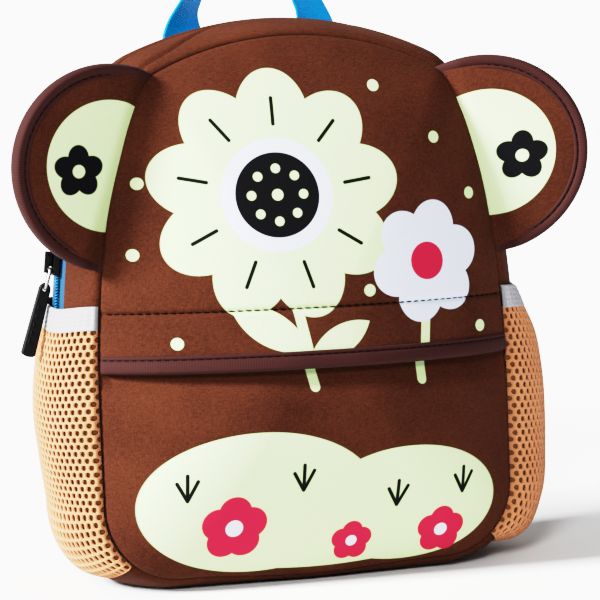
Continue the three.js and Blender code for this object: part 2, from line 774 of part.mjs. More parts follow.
function addHandle() {
  const steps = 26;
  const loop = new THREE.CurvePath();
  const end = (side) => {
    const z = SEAM_TOP - ARCH_RADIUS + Math.sqrt(ARCH_RADIUS ** 2 - HANDLE.x ** 2);
    return new THREE.Vector3(side * HANDLE.x, BACK_Y + HANDLE.root_clear, z + HANDLE.root_clear);
  };
  const lift = new THREE.Vector3(0, 0, (HANDLE.rise * 4) / 3);
  loop.add(new THREE.CubicBezierCurve3(end(-1), end(-1).add(lift), end(1).add(lift), end(1)));
  const outerAt = (v, u) => {
    const middle = loop.getPoint(v);
    const along = loop.getTangent(v);
    const turn = THREE.MathUtils.degToRad(eased(HANDLE_TURN, "along", "deg", v));
    const wide = new THREE.Vector3(Math.cos(turn), Math.sin(turn), 0);
    wide.addScaledVector(along, -wide.dot(along)).normalize();
    const point = middle.addScaledVector(wide, (u - 0.5) * HANDLE.width);
    const foot = Math.min(v, 1 - v);
    const seamDrop = ARCH_RADIUS - Math.sqrt(ARCH_RADIUS ** 2 - point.x ** 2);
    const level = ARCH_RADIUS - Math.sqrt(ARCH_RADIUS ** 2 - HANDLE.x ** 2);
    point.z -= (seamDrop - level) * THREE.MathUtils.smoothstep(HANDLE.foot - foot, 0, HANDLE.foot);
    return point;
  };
  addMesh(bag, "grab_handle", sheet(steps, 2, HANDLE.thick, outerAt), BLUE);
}

// Shoulder straps: pad, adjuster and webbing along one path

function addStrap(name, side) {
  const path = new THREE.CatmullRomCurve3(
    STRAP_PATH.map(({ x, z, off }) => new THREE.Vector3(side * x, backY(x, z) + off, z)),
  );
  const length = path.getLength();
  const padEnd = PAD.share * length;
  const webStart = padEnd + ADJUSTER.length + 2 * GAP;
  const frameAt = (s) => {
    const along = path.getTangentAt(s / length);
    const wide = new THREE.Vector3(1, 0, 0);
    wide.addScaledVector(along, -wide.dot(along)).normalize();
    const out = wide.clone().cross(along).normalize();
    return { origin: path.getPointAt(s / length), along, wide, out };
  };

  const { flat, edge } = PAD;
  const profile = [
    new THREE.Vector2(-1, -edge), new THREE.Vector2(-flat, -1), new THREE.Vector2(flat, -1),
    new THREE.Vector2(1, -edge), new THREE.Vector2(1, edge), new THREE.Vector2(flat, 1),
    new THREE.Vector2(-flat, 1), new THREE.Vector2(-1, edge),
  ];
  const steps = 14;
  const padFrames = Array.from({ length: steps + 1 }, (unused, k) => {
    const { origin, wide, out } = frameAt((padEnd * k) / steps);
    const half = eased(PAD_HALF_WIDTH, "along", "half", k / steps);
    return {
      origin,
      across: wide.multiplyScalar(half),
      out: out.multiplyScalar(PAD.half_thick),
    };
  });
  addMesh(bag, `shoulder_pad_${name}`, sweep(profile, padFrames), BROWN);

  const shape = new THREE.Shape();
  rectangle(shape, -ADJUSTER.width / 2, -ADJUSTER.length / 2, ADJUSTER.width / 2, ADJUSTER.length / 2);
  for (const place of [-1, 1]) {
    const middle = (place * ADJUSTER.length) / 4;
    const slot = new THREE.Path();
    const halfSlot = ADJUSTER.slot / 2;
    const halfWide = ADJUSTER.slot_width / 2;
    rectangle(slot, -halfWide, middle - halfSlot, halfWide, middle + halfSlot);
    shape.holes.push(slot);
  }
  const plate = new THREE.ExtrudeGeometry(shape, { depth: ADJUSTER.thick, bevelEnabled: false });
  plate.translate(0, 0, -ADJUSTER.thick / 2);
  const seat = frameAt(padEnd + GAP + ADJUSTER.length / 2);
  const adjuster = addMesh(bag, `strap_adjuster_${name}`, plate, BLACK);
  adjuster.position.copy(seat.origin);
  const turn = new THREE.Matrix4().makeBasis(seat.wide, seat.along, seat.wide.clone().cross(seat.along));
  adjuster.quaternion.setFromRotationMatrix(turn);

  const webAt = (v, u) => {
    const { origin, wide, out } = frameAt(between(webStart, length)(v));
    origin.addScaledVector(out, STRAP_WEB.thick / 2);
    return origin.addScaledVector(wide, (2 * u - 1) * STRAP_WEB.half);
  };
  addMesh(bag, `strap_webbing_${name}`, sheet(8, 1, STRAP_WEB.thick, webAt), BLUE);
}

addPanels();
addFlap();
addSideWall();
addZip();
addZipPull();
for (const pocket of POCKET_SIDES) addSidePocket(pocket);
for (const { name, side } of POCKET_SIDES) {
  addEar(name, side);
  addStrap(name, side);
}
addHandle();

export default bag;
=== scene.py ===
# Looks of a toddler's neoprene backpack: cloth walls with rolled seams, a printed front, ribbed tape,
# mesh pockets, a coil zip, webbing and padded straps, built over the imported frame. Sizes are in
# millimetres in the part's own frame (+Z up, front towards -Y), and meshes are made in metres.

import json
import math
from functools import partialmethod

import bpy
import numpy as np
from mathutils import Matrix


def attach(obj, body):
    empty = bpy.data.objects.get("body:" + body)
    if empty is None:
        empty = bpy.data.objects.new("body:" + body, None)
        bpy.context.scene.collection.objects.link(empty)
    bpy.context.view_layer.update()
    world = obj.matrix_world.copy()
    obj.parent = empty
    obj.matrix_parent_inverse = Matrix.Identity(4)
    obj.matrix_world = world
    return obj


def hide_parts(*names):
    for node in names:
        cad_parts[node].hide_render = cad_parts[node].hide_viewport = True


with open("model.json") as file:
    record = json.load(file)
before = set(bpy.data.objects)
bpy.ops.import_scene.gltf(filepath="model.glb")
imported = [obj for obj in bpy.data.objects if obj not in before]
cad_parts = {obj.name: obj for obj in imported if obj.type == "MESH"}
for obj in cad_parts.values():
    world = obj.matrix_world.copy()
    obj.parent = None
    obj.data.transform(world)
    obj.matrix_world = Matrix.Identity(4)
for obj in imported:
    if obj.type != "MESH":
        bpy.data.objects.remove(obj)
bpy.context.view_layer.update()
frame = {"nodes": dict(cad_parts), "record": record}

MM = 0.001

# Seam outline, as in the part
SEAM_BASE = 6.5
SEAM_SAG = 3.2
SEAM_TOP = 280.0
HALF_WIDTH = 108.0
CORNER_RADIUS = 38.0
ARCH_RADIUS = 160.0
SHOULDER_X = 73.5
SIDE_STRAIGHT_TOP = 100.0
SHOULDER_PULL = 25.0
SIDE_PULL_Z = 165.0
MIDDLE_Z = 135.0
ARC_STEPS = 160
SIDE_STEPS = 400
LINE_STEPS = 80
PATH_STEPS = 400
SEAM_STEP = 0.8
SEAM_PLACES = 701

# Walls
DEPTH = 92.0
FRONT_Y = -DEPTH / 2
BACK_Y = DEPTH / 2
FRONT_DOME = 37.0
BACK_DOME = 9.0
DOME_POWER = 0.83
NEOPRENE = 3.0
SEAM_ROLL = 3.2
SEAM_TURN = 2.5 * SEAM_ROLL
WALL_ROLL = 5.0
WALL_ROLL_SHARE = 0.7
WALL_STEP = 0.5
WALL_POWER = 0.75
WALL_BULGE = [(3, 5), (7, 10), (16, 14), (30, 15), (70, 17), (200, 17), (255, 13), (280, 11)]
WAVE_HEIGHT = 0.25

# Flap and front pocket
FLAP_TOP_Z = 143.0
FLAP_LOW_Z = 115.0
FLAP_FLARE = 3.0
FLAP_FLARE_RATE = 2.0
POCKET_TOP_Z = 129.0
POCKET_PUFF = 6.0
POCKET_TUCK = 6.5
POCKET_TUCK_FROM = 98.0
POCKET_TUCK_TO = 116.0
POCKET_TUCK_RATE = 6.0
PANEL_CORNER = 5.0
BACK_CORNER = 6.0

# Stitches: sections as the share along a stitch, then height and radius in shares of its thickness
STITCH_PITCH = 4.2
STITCH_DIP = 1.1
STITCH_DIP_WIDTH = 1.1
STITCH_DIP_RUN = 4.0
STITCH_PUCKER = 0.2
STITCH_STAND = 0.35
STITCH_CLEAR = 0.05
STITCH_SHARE = 0.82
STITCH_SIDES = 6
STITCH_SHAPE = [
    (-0.5, -0.34, 0.12), (-0.34, 0.05, 0.3), (0, 0.16, 0.36), (0.34, 0.05, 0.3), (0.5, -0.34, 0.12),
]

# Folded ribbed tape: its height over the cloth by the distance from its free edge
TAPE_LEG = 7.2
TAPE_NOSE = 1.8
TAPE_NOSE_INSIDE = 0.7
TAPE_CLEAR = 0.08
TAPE_END_DIVE = 1.6
TAPE_END_RUN = 6.0
TAPE_RIB = 1.3
TAPE_RIB_HEIGHT = 0.08
TAPE_STITCH = 2.0
TAPE_HEIGHT = [(0, 0.4), (0.35, 1.15), (1.3, 1.25), (2.0, 0.4), (2.8, 1.4), (4.0, 1.75), (9, 1.75)]
TAPE_STEPS = [0, 0.15, 0.35, 0.8, 1.3, 1.65, 2.0, 2.35, 2.8, 3.4, 4.0, 5.4]

# Ears
EAR_X = 97.0
EAR_Z = 215.0
EAR_RADIUS = 51.0
EAR_PAD_RADIUS = 49.5
EAR_LOW = (105.5, 166.0)
EAR_TOP = (73.5, 262.0)
EAR_ROOT_LOW_Z = 166.5
EAR_ROOT_TOP_Z = 260.0
EAR_SWEEP = 20.0 / 56.0
EAR_PROUD = 1.0
EAR_THICK = 4.6
EAR_PUFF = 3.0
EAR_TAPE_LEG = 5.4
EAR_TUCK = 2.6
EAR_TUCK_RUN = 12.0
EAR_PINCH = 0.35
EAR_ROOT_DEPTH = 2.0
EAR_INSET = 0.02
EAR_ROLL = 2.4
EAR_LEAST = 0.2
EAR_TAPE_OVER = 3.0

# Zip
ZIP_END_Z = 120.0
ZIP_MIDDLE = 35.0
ZIP_LIPS = {"side": (25.0, 55.0), "arch": (31.5, 38.5)}
ZIP_ARCH_FROM = 205.0
ZIP_ARCH_TO = 246.0
LIP_ROLL = 2.6
REAR_LIP_DROP = 3.4
REAR_LIP_RUN = 30.0
FOLD_DEPTHS = [(248, 3), (262, 8), (270, 13), (275, 24), (278, 33)]
FOLD_FALLS = [(246, 0), (254, 2.8), (274, 2.8), (278, 0)]
FOLD_WIDTH = 1.9
TAPE_OVERLAP = 4.0
TAPE_THICK = 0.9
TAPE_LIFTS = [(0, -3.5), (0.13, -3.5), (0.34, -1.4), (0.86, -1.4), (1, -5.4)]
ARCH_SINK = 5.4
SINK_FROM = 188.0
SINK_TO = 208.0
COIL_PITCH = 1.5
COIL_WIRE = 0.36
COIL_OFFSET = 1.25
COIL_HALF_WIDTH = 1.45
COIL_HALF_HEIGHT = 0.62
COIL_LIFT = 1.05
COIL_STEPS = 8
COIL_SIDES = 5
ZIP_WEAVE_MIDDLE = 15.0

# Side pockets
MOUTH_Z = 148.0
MOUTH_DIPS = [(0, 1.0), (0.28, 3.8), (0.6, 0.8), (1, 0)]
ELASTIC = 12.0
ELASTIC_THICK = 1.4
ELASTIC_CLEAR = 0.5
ELASTIC_ROLL = 0.7
ELASTIC_BACK_ROLL = 0.9
RIPPLE_HEIGHT = 0.25
RIPPLE_LENGTH = 4.6
CORD_HEIGHT = 0.2
CORD_ROWS = 5
MESH_THICK = 1.6
MESH_CLEAR = 0.5
MESH_UNDER = 0.8
# Lifts of the sheet under the pocket mesh, whose dark tan is painted shade seen through the holes
SHADE_SHEET_LIFTS = (-1.7, -1.95)
POCKET_MIDDLE = 40.0
POCKET_TUCK_IN = 1.8
POCKET_POWER = 0.42
POCKET_ENDS = {"left": 0.54, "right": 0.51}
POCKET_STANDS = {
    "left": [
        (0, 2.0), (0.18, 5.4), (0.36, 7.0), (0.55, 5.0), (0.72, 3.6), (0.86, 4.2), (0.95, 2.5), (1, -1.2),
    ],
    "right": [(0, 5.0), (0.1, 10), (0.25, 13.2), (0.6, 14.5), (0.8, 14), (0.94, 8.5), (1, -1.2)],
}
MOUTH_GAP_TOP = 0.3
HOLE_ACROSS = 4.4
HOLE_ALONG = 3.55
HOLE_RADIUS = 1.42
SIDES = {"left": -1, "right": 1}

# Slider and pull. Bevels are for pieces that keep a solid's form
BEVELS = {"zip_slider": 0.45, "pull_tab": 0.5, "strap_adjuster_left": 0.7, "strap_adjuster_right": 0.7}
BEVEL_ANGLE = math.radians(35)
PULL_LEAN = math.radians(17)
BRIDGE_HALF = 1.1
BRIDGE_HOLE = 1.2
BRIDGE_INSET = 0.25
BRIDGE_SIDES = 48
BRIDGE_FACING = 0.05
RING_HALF = 3.2
RING_LENGTH = 10.5
RING_WIRE = 0.9
RING_CORNER = 1.6
RING_STEPS = 9
RING_SIDES = 14
TAB_TAPER = [(9, 0.95), (15, 1.2), (27, 1.1), (40, 1.2)]
TAB_BLUNT_FROM = 44.5
TAB_BLUNT = 0.55
TAB_FACE = 2.0
TAB_DASHES = [(-0.9, 16.0), (-1.5, 43.0)]
TAB_DASH_PITCH = 4.4

# Handle and straps
HANDLE_X = 38.0
HANDLE_WIDTH = 25.0
HANDLE_THICK = 2.0
HANDLE_RISE = 50.0
HANDLE_CLEAR = 1.3
HANDLE_FOOT = 0.12
HANDLE_SINK = 3.0
HANDLE_SINK_SHARE = 0.05
HANDLE_TURN = [(0, 0), (0.2, 55), (0.5, 90), (0.8, 35), (1, 0)]
STRAP_PATH = [
    (38, 262, 4.6), (42, 240, 14), (50, 205, 30), (60, 160, 38),
    (70, 115, 33), (77, 75, 20), (82, 40, 8), (83, 24, 1.6),
]
PAD_SHARE = 0.68
PAD_HALF_THICK = 4.0
PAD_SOFT_EDGE = 7.0
PAD_EDGE_POWER = 2.4
PAD_LEAST = 0.25
PAD_END_THICK = 0.45
PAD_END_RUN = 9.0
CHANNEL_DEPTH = 0.9
CHANNEL_INSET = 4.0
CHANNEL_WIDTH = 1.1
PAD_HALF_WIDTH = [(0, 17), (0.25, 22), (0.75, 21), (1, 13)]
ADJUSTER_LENGTH = 20.0
WEB_HALF = 10.0
WEB_THICK = 1.6
GAP = 0.3

# Camera: its place, and its turn, tilt and roll in radians
CAMERA_AT = (-278.9, -1075.0, 209.7)
CAMERA_YAW = 0.2623
CAMERA_PITCH = -0.0608
CAMERA_ROLL = -0.0382
CAMERA_LENS = 126.0
CAMERA_SENSOR = 36.0
CAMERA_NEAR = 0.05
CAMERA_FAR = 100.0

# Colours, linear, how soft a print's edge is, how much of the knit shows through it, and the
# places of the colour sockets on a Mix node
PRINT_EDGE = 0.25
PRINTED_BUMP = 0.6
MIX_COLOURS = (6, 7)
MIX_RESULT = 2
BROWN = (0.0570, 0.0180, 0.0090)
BROWN_DARK = (0.0270, 0.0079, 0.0037)
PLUM = (0.043, 0.0135, 0.0120)
PLUM_DARK = (0.008, 0.0022, 0.0020)
CREAM = (0.370, 0.490, 0.245)
PALE = (0.420, 0.460, 0.580)
INK = (0.003, 0.003, 0.004)
BLUSH = (0.310, 0.015, 0.042)
TAN = (0.385, 0.166, 0.078)
TAN_DARK = (0.300, 0.119, 0.053)
# TAN_SHADE is painted shade: the dark tan seen through the pocket mesh's holes
TAN_SHADE = (0.105, 0.042, 0.016)
WHITE = (0.225, 0.225, 0.243)
BLUE = (0.001, 0.270, 0.660)
BLUE_DARK = (0.001, 0.180, 0.470)
ZIP_BLUE = (0.002, 0.110, 0.240)
ZIP_BLUE_DARK = (0.001, 0.022, 0.060)
BLACK = (0.0022, 0.0022, 0.0026)
STEEL = (0.220, 0.220, 0.230)
BROWN_THREAD = (0.004, 0.0012, 0.0008)

# Light: lamps as the direction towards them, power and width, and how the picture's tones follow the light
LAMPS = {
    "side_lamp": ((-0.870, -0.153, 0.469), 4.7, math.radians(13)),
    "front_lamp": ((-0.421, -0.826, 0.375), 0.8, math.radians(12)),
}
SKY_LIGHT = 0.12
BACKDROP = 0.75
FLOOR_SEEN = 0.82
FLOOR_BOUNCE = 0.85
FLOOR_REACH = 30.0
FLOOR_LEVEL = -0.0003
TONES = [
    (0, 0), (0.009, 0.015), (0.024, 0.057), (0.0816, 0.294), (0.18, 0.645),
    (0.28, 0.78), (0.4, 0.85), (0.6, 0.915), (0.8, 0.965), (1, 1),
]


# Numbers

def unit(v):
    return v / np.maximum(np.linalg.norm(v, axis=-1, keepdims=True), 1e-9)


def smoothstep(x, low, high):
    t = np.clip((x - low) / (high - low), 0, 1)
    return t * t * (3 - 2 * t)


def row_of(table, at):
    """Keys and values of a table, places kept within its keys, and the row that each place follows."""
    keys, values = np.array(table, float).T
    at = np.clip(np.asarray(at, float), keys[0], keys[-1])
    return keys, values, at, np.clip(np.searchsorted(keys, at) - 1, 0, len(keys) - 2)


def eased(table, at):
    """A value read from rows of key and value, eased between the rows."""
    keys, values, at, k = row_of(table, at)
    return values[k] + (values[k + 1] - values[k]) * smoothstep(at, keys[k], keys[k + 1])


def through(table, at):
    """A value read from rows of key and value, on a smooth curve through the rows."""
    keys, values, at, k = row_of(table, at)
    slope = np.gradient(values, keys)
    span = keys[k + 1] - keys[k]
    t = (at - keys[k]) / span
    low = (1 + 2 * t) * (1 - t) ** 2 * values[k] + t * (1 - t) ** 2 * span * slope[k]
    return low + t**2 * (3 - 2 * t) * values[k + 1] - t**2 * (1 - t) * span * slope[k + 1]


def rolled(edge, radius):
    """How far a round edge has fallen at a distance from that edge."""
    return radius - np.sqrt(np.maximum(0, radius**2 - np.maximum(0, radius - edge) ** 2))


def spaced(length, step, start=0.0, end=0.0):
    """Shares from 0 to 1, about step apart, drawn closer over the given lengths at either end."""
    ease = 1 - np.cos(np.linspace(0, math.pi / 2, 8))
    count = max(2, round((length - start - end) / step) + 1)
    middle = np.linspace(start, length - end, count)
    first = start * ease[:-1] if start else ease[:0]
    last = length - end * ease[-2::-1] if end else ease[:0]
    return np.concatenate([first, middle, last]) / length


def run_of(points, axis=0):
    """Length along a line of points, or along each line of a grid."""
    steps = np.linalg.norm(np.diff(points, axis=axis), axis=-1)
    return np.insert(np.cumsum(steps, axis=axis), 0, 0, axis=axis)


def resampled(line, run, at):
    return np.stack([np.interp(at, run, line[:, k]) for k in range(3)], -1)


def even_line(line, step):
    """The same line with points an even step apart."""
    run = run_of(line)
    return resampled(line, run, np.linspace(0, run[-1], max(2, round(run[-1] / step) + 1)))


def arc(middle, radius, start, end):
    """Points on an arc between two angles, which count from the top."""
    angle = np.linspace(start, end, ARC_STEPS)
    return np.array(middle) + radius * np.stack([np.sin(angle), np.cos(angle)], 1)


def bezier(start, first_pull, last_pull, end, count):
    """Points on a curve between two places, drawn towards a pull near each."""
    t = np.linspace(0, 1, count)[:, None]
    near = (1 - t) ** 3 * start + 3 * (1 - t) ** 2 * t * first_pull
    return near + 3 * (1 - t) * t**2 * last_pull + t**3 * end


# Seam outline: a place on it is q, the length from the top, positive on the right

def seam_outline():
    """Half of the outline, from the top of the arch to the middle of the base."""
    turn = math.asin(SHOULDER_X / ARCH_RADIUS)
    arch = arc((0, SEAM_TOP - ARCH_RADIUS), ARCH_RADIUS, 0, turn)
    shoulder_pull = arch[-1] + SHOULDER_PULL * np.array([math.cos(turn), -math.sin(turn)])
    side_pull = np.array([HALF_WIDTH, SIDE_PULL_Z])
    side_end = np.array([HALF_WIDTH, SIDE_STRAIGHT_TOP])
    side = bezier(arch[-1], shoulder_pull, side_pull, side_end, SIDE_STEPS)
    base_end = HALF_WIDTH - CORNER_RADIUS
    corner = arc((base_end, SEAM_BASE + CORNER_RADIUS), CORNER_RADIUS, math.pi / 2, math.pi)
    straight = np.linspace(side_end, corner[0], LINE_STEPS)
    base = np.linspace(corner[-1], [0, SEAM_BASE], LINE_STEPS)
    base[:, 1] -= SEAM_SAG * (1 - smoothstep(base[:, 0], 0, base_end))
    return np.concatenate([arch, side[1:], straight[1:], corner[1:], base[1:]])


SEAM = seam_outline()
SEAM_RUN = run_of(SEAM)
SEAM_HALF = SEAM_RUN[-1]
CORNER_RUN = math.pi / 2 * CORNER_RADIUS
Q_CORNER = SEAM_HALF - (HALF_WIDTH - CORNER_RADIUS) - CORNER_RUN
RIM_ANGLE = np.arctan2(SEAM[::-1, 1] - MIDDLE_Z, SEAM[::-1, 0])
RIM_RADIUS = np.hypot(SEAM[::-1, 0], SEAM[::-1, 1] - MIDDLE_Z)
INSIDE = np.array([0, 0, MIDDLE_Z])


def seam_at(q):
    q = np.asarray(q, float)
    wrapped = (q + SEAM_HALF) % (2 * SEAM_HALF) - SEAM_HALF
    run = np.abs(wrapped)
    x = np.sign(wrapped) * np.interp(run, SEAM_RUN, SEAM[:, 0])
    return np.stack([x, np.interp(run, SEAM_RUN, SEAM[:, 1])], -1)


def seam_normal(q):
    q = np.asarray(q)
    along = unit(seam_at(q + SEAM_STEP) - seam_at(q - SEAM_STEP))
    return np.stack([-along[..., 1], along[..., 0]], -1)


def q_at_height(z):
    return np.interp(-np.asarray(z, float), -SEAM[:, 1], SEAM_RUN)


def half_width_at(z):
    return seam_at(q_at_height(z))[..., 0]


def seam_rim(points, side):
    """Direction out of the seam's groove, halfway between the panel and the side wall."""
    radial = points - INSIDE
    radial[..., 1] = 0
    return unit(unit(radial) + np.array([0, side, 0]))


def seam_distance(points, y):
    """Distance of each point from the seam at a depth."""
    flat = seam_at(np.linspace(-SEAM_HALF, SEAM_HALF, SEAM_PLACES))
    line = np.insert(flat, 1, y, axis=1)
    start = line[:-1]
    step = np.diff(line, axis=0)
    size = (step**2).sum(1)
    rows = points.reshape(-1, 3)
    best = np.empty(len(rows))
    batch = 2000
    for k in range(0, len(rows), batch):
        away = rows[k : k + batch, None] - start
        share = np.clip((away * step).sum(-1) / size, 0, 1)
        best[k : k + batch] = np.linalg.norm(away - share[..., None] * step, axis=-1).min(1)
    return best.reshape(points.shape[:-1])


# Surfaces

def dome_share(x, z):
    radius = np.interp(np.arctan2(z - MIDDLE_Z, np.abs(x)), RIM_ANGLE, RIM_RADIUS)
    reach = np.hypot(x, z - MIDDLE_Z) / radius
    return np.maximum(0, 1 - reach**2) ** DOME_POWER


def waviness(x, z):
    """Slight unevenness of stuffed neoprene."""
    slow = np.sin(x / 23 + 1.3 * np.sin(z / 31)) * np.cos(z / 27 + 0.8 * np.sin(x / 37))
    return WAVE_HEIGHT * slow


def front_y(x, z):
    return FRONT_Y - FRONT_DOME * dome_share(x, z)


def back_y(x, z):
    return BACK_Y + BACK_DOME * dome_share(x, z)


def pocket_y(x, z):
    dome = dome_share(x, z)
    tuck = POCKET_TUCK * smoothstep(z, POCKET_TUCK_FROM, POCKET_TUCK_TO)
    rise = np.sin(math.pi * np.clip((z - SEAM_BASE) / (POCKET_TUCK_TO - SEAM_BASE), 0, 1))
    return front_y(x, z) + tuck * np.minimum(1, POCKET_TUCK_RATE * dome) - POCKET_PUFF * dome * rise


def flap_point(share, z):
    x = half_width_at(z) * (2 * share - 1)
    hang = (FLAP_TOP_Z - z) / (FLAP_TOP_Z - FLAP_LOW_Z)
    flare = FLAP_FLARE * hang * np.minimum(1, FLAP_FLARE_RATE * dome_share(x, z))
    return np.stack([x, front_y(x, z) - flare, z + 0 * x], -1)


def wall_surface(q, depth):
    q, depth = np.broadcast_arrays(np.asarray(q, float), np.asarray(depth, float))
    seam = seam_at(q)
    u = 2 * depth / DEPTH - 1
    out = eased(WALL_BULGE, seam[..., 1]) * np.maximum(0, 1 - u * u) ** WALL_POWER
    flat = seam + seam_normal(q) * out[..., None]
    return np.stack([flat[..., 0], FRONT_Y + depth, np.maximum(0, flat[..., 1])], -1)


def wall_normal(q, depth):
    along = wall_surface(q + WALL_STEP, depth) - wall_surface(q - WALL_STEP, depth)
    front = np.maximum(depth - WALL_STEP, 0)
    rear = np.minimum(depth + WALL_STEP, DEPTH)
    return unit(np.cross(along, wall_surface(q, rear) - wall_surface(q, front)))


def wall_lifted(q, depth, lift):
    return wall_surface(q, depth) + wall_normal(q, depth) * np.asarray(lift)[..., None]


def outward(grid):
    normal = unit(np.cross(np.gradient(grid, axis=0), np.gradient(grid, axis=1)))
    return normal * np.sign((normal * (grid - INSIDE)).sum(-1).mean())


# Meshes

def turned_out(points, faces):
    """Faces of a closed mesh, turned so that they point out."""
    a, b, c, d = (points[faces[:, k]] for k in range(4))
    volume = (a * (np.cross(b, c) + np.cross(c, d))).sum()
    return faces if volume > 0 else faces[:, ::-1]


def add_piece(name, points, faces, finishes, body="bag", node=None, slot=None, cloth=None, finish_at=None):
    """One piece of the bag. cloth is its places across and along the cloth, for the weave."""
    mesh = bpy.data.meshes.new(name)
    mesh.from_pydata((points * MM).tolist(), [], faces if isinstance(faces, list) else faces.tolist())
    mesh.polygons.foreach_set("use_smooth", np.ones(len(mesh.polygons), bool))
    for finish in finishes:
        mesh.materials.append(finish)
    if finish_at is not None:
        mesh.polygons.foreach_set("material_index", np.asarray(finish_at, np.int32))
    if cloth is not None:
        places = mesh.attributes.new("cloth", "FLOAT_VECTOR", "POINT")
        rows = np.zeros((len(points), 3), np.float32)
        rows[:, :2] = cloth
        places.data.foreach_set("vector", rows.ravel())
    mesh.update()
    piece = bpy.data.objects.new(name, mesh)
    bpy.context.scene.collection.objects.link(piece)
    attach(piece, body)
    if node:
        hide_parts(node)
    return piece


def grid_faces(rows, columns, ring=False, start=0):
    k = np.arange(rows * columns).reshape(rows, columns) + start
    if ring:
        k = np.concatenate([k, k[:, :1]], 1)
    return np.stack([k[:-1, :-1], k[:-1, 1:], k[1:, 1:], k[1:, :-1]], -1).reshape(-1, 4)


def border_of(rows, columns):
    k = np.arange(rows * columns).reshape(rows, columns)
    return np.concatenate([k[0, :-1], k[:-1, -1], k[-1, :0:-1], k[:0:-1, 0]])


def add_shell(name, outer, inner, finishes, cloth=None, **more):
    """A closed sheet between an outer and an inner grid. A second finish is for the inner face."""
    rows, columns = outer.shape[:2]
    count = rows * columns
    points = np.concatenate([outer.reshape(-1, 3), inner.reshape(-1, 3)])
    edge = border_of(rows, columns)
    following = np.roll(edge, -1)
    sides = np.stack([following, edge, edge + count, following + count], -1)
    front = grid_faces(rows, columns)
    faces = np.concatenate([front, front[:, ::-1] + count, sides])
    finish_at = np.zeros(len(faces), int)
    if len(finishes) > 1:
        finish_at[len(front) : 2 * len(front)] = 1
    if cloth is None:
        across = run_of(outer, axis=1)
        along = run_of(outer, axis=0)
        cloth = np.stack([across, along], -1)
    cloth = np.concatenate([cloth.reshape(-1, 2)] * 2)
    faces = turned_out(points, faces)
    return add_piece(name, points, faces, finishes, cloth=cloth, finish_at=finish_at, **more)


def tube_mesh(line, wide, high, around, closed=False):
    """Points and faces of a tube round a line. wide and high are its half sizes as vectors."""
    angle = np.linspace(0, 2 * math.pi, around, endpoint=False)
    ring = wide[:, None] * np.cos(angle)[:, None] + high[:, None] * np.sin(angle)[:, None]
    points = (line[:, None] + ring).reshape(-1, 3)
    if closed:
        faces = grid_faces(len(line) + 1, around, ring=True) % len(points)
        return points, turned_out(points, faces).tolist()
    return points, capped(points, grid_faces(len(line), around, ring=True), around)


def capped(points, faces, around):
    """Faces of an open tube and its two end caps, all pointing out."""
    first = np.arange(around)
    last = first + len(points) - around
    middle = points[first].mean(0)
    a, b, c = points[faces[0, :3]]
    quads = faces if np.dot(np.cross(b - a, c - a), a - middle) > 0 else faces[:, ::-1]
    normal = np.cross(points[1] - points[0], points[2] - points[1])
    ahead = points[first + around].mean(0) - middle
    turn = 1 if np.dot(normal, ahead) < 0 else -1
    return [*quads.tolist(), first[::turn].tolist(), last[::-turn].tolist()]


def shifted(faces, start):
    return [[k + start for k in face] for face in faces]


def add_stitches(name, line, normals, finish, pitch=STITCH_PITCH, thick=1.0, lift=0.0,
                 slot="binding", body="bag"):
    """A row of thread stitches along a line on a surface."""
    run = run_of(line)
    count = max(1, int((run[-1] - pitch) // pitch))
    middles = run[-1] / 2 + pitch * (np.arange(count) - (count - 1) / 2)
    share, height, radius = np.array(STITCH_SHAPE).T
    at = middles[:, None] + share * pitch * STITCH_SHARE
    place = resampled(line, run, at)
    normal = unit(resampled(normals, run, at))
    side = unit(np.cross(unit(np.gradient(place, axis=1)), normal))
    angle = np.linspace(0, 2 * math.pi, STITCH_SIDES, endpoint=False)
    size = radius[:, None] * thick
    ring = side[:, :, None] * (np.cos(angle) * size)[..., None]
    ring = ring + normal[:, :, None] * (np.sin(angle) * size)[..., None]
    middle = place + normal * (height * thick + lift)[:, None]
    points = (middle[:, :, None] + ring).reshape(count, -1, 3)
    shape = capped(points[0], grid_faces(len(share), STITCH_SIDES, ring=True), STITCH_SIDES)
    faces = sum((shifted(shape, k * points.shape[1]) for k in range(count)), [])
    return add_piece(name, points.reshape(-1, 3), faces, [finish], slot=slot, body=body)


# Materials

class Field:
    """A number that a material works out at every point. Sums of fields become math nodes."""

    def __init__(self, tree, socket):
        self.tree = tree
        self.socket = socket

    def with_node(self, operation, *others, clamp=False):
        node = self.tree.nodes.new("ShaderNodeMath")
        node.operation = operation
        node.use_clamp = clamp
        for place, value in enumerate((self, *others)):
            if isinstance(value, Field):
                self.tree.links.new(value.socket, node.inputs[place])
            else:
                node.inputs[place].default_value = value
        return Field(self.tree, node.outputs[0])

    __add__ = partialmethod(with_node, "ADD")
    __sub__ = partialmethod(with_node, "SUBTRACT")
    __mul__ = partialmethod(with_node, "MULTIPLY")
    __truediv__ = partialmethod(with_node, "DIVIDE")
    __abs__ = partialmethod(with_node, "ABSOLUTE")
    root = partialmethod(with_node, "SQRT")
    least = partialmethod(with_node, "MINIMUM")
    most = partialmethod(with_node, "MAXIMUM")

    def wave(self, length, start=0.0):
        """A sine of the given wavelength, starting at a share of a turn."""
        return (self * (2 * math.pi / length) + 2 * math.pi * start).with_node("SINE")

    def inside(self):
        """One where the field is below zero, with a soft edge."""
        return self.with_node("MULTIPLY_ADD", -0.5 / PRINT_EDGE, 0.5, clamp=True)


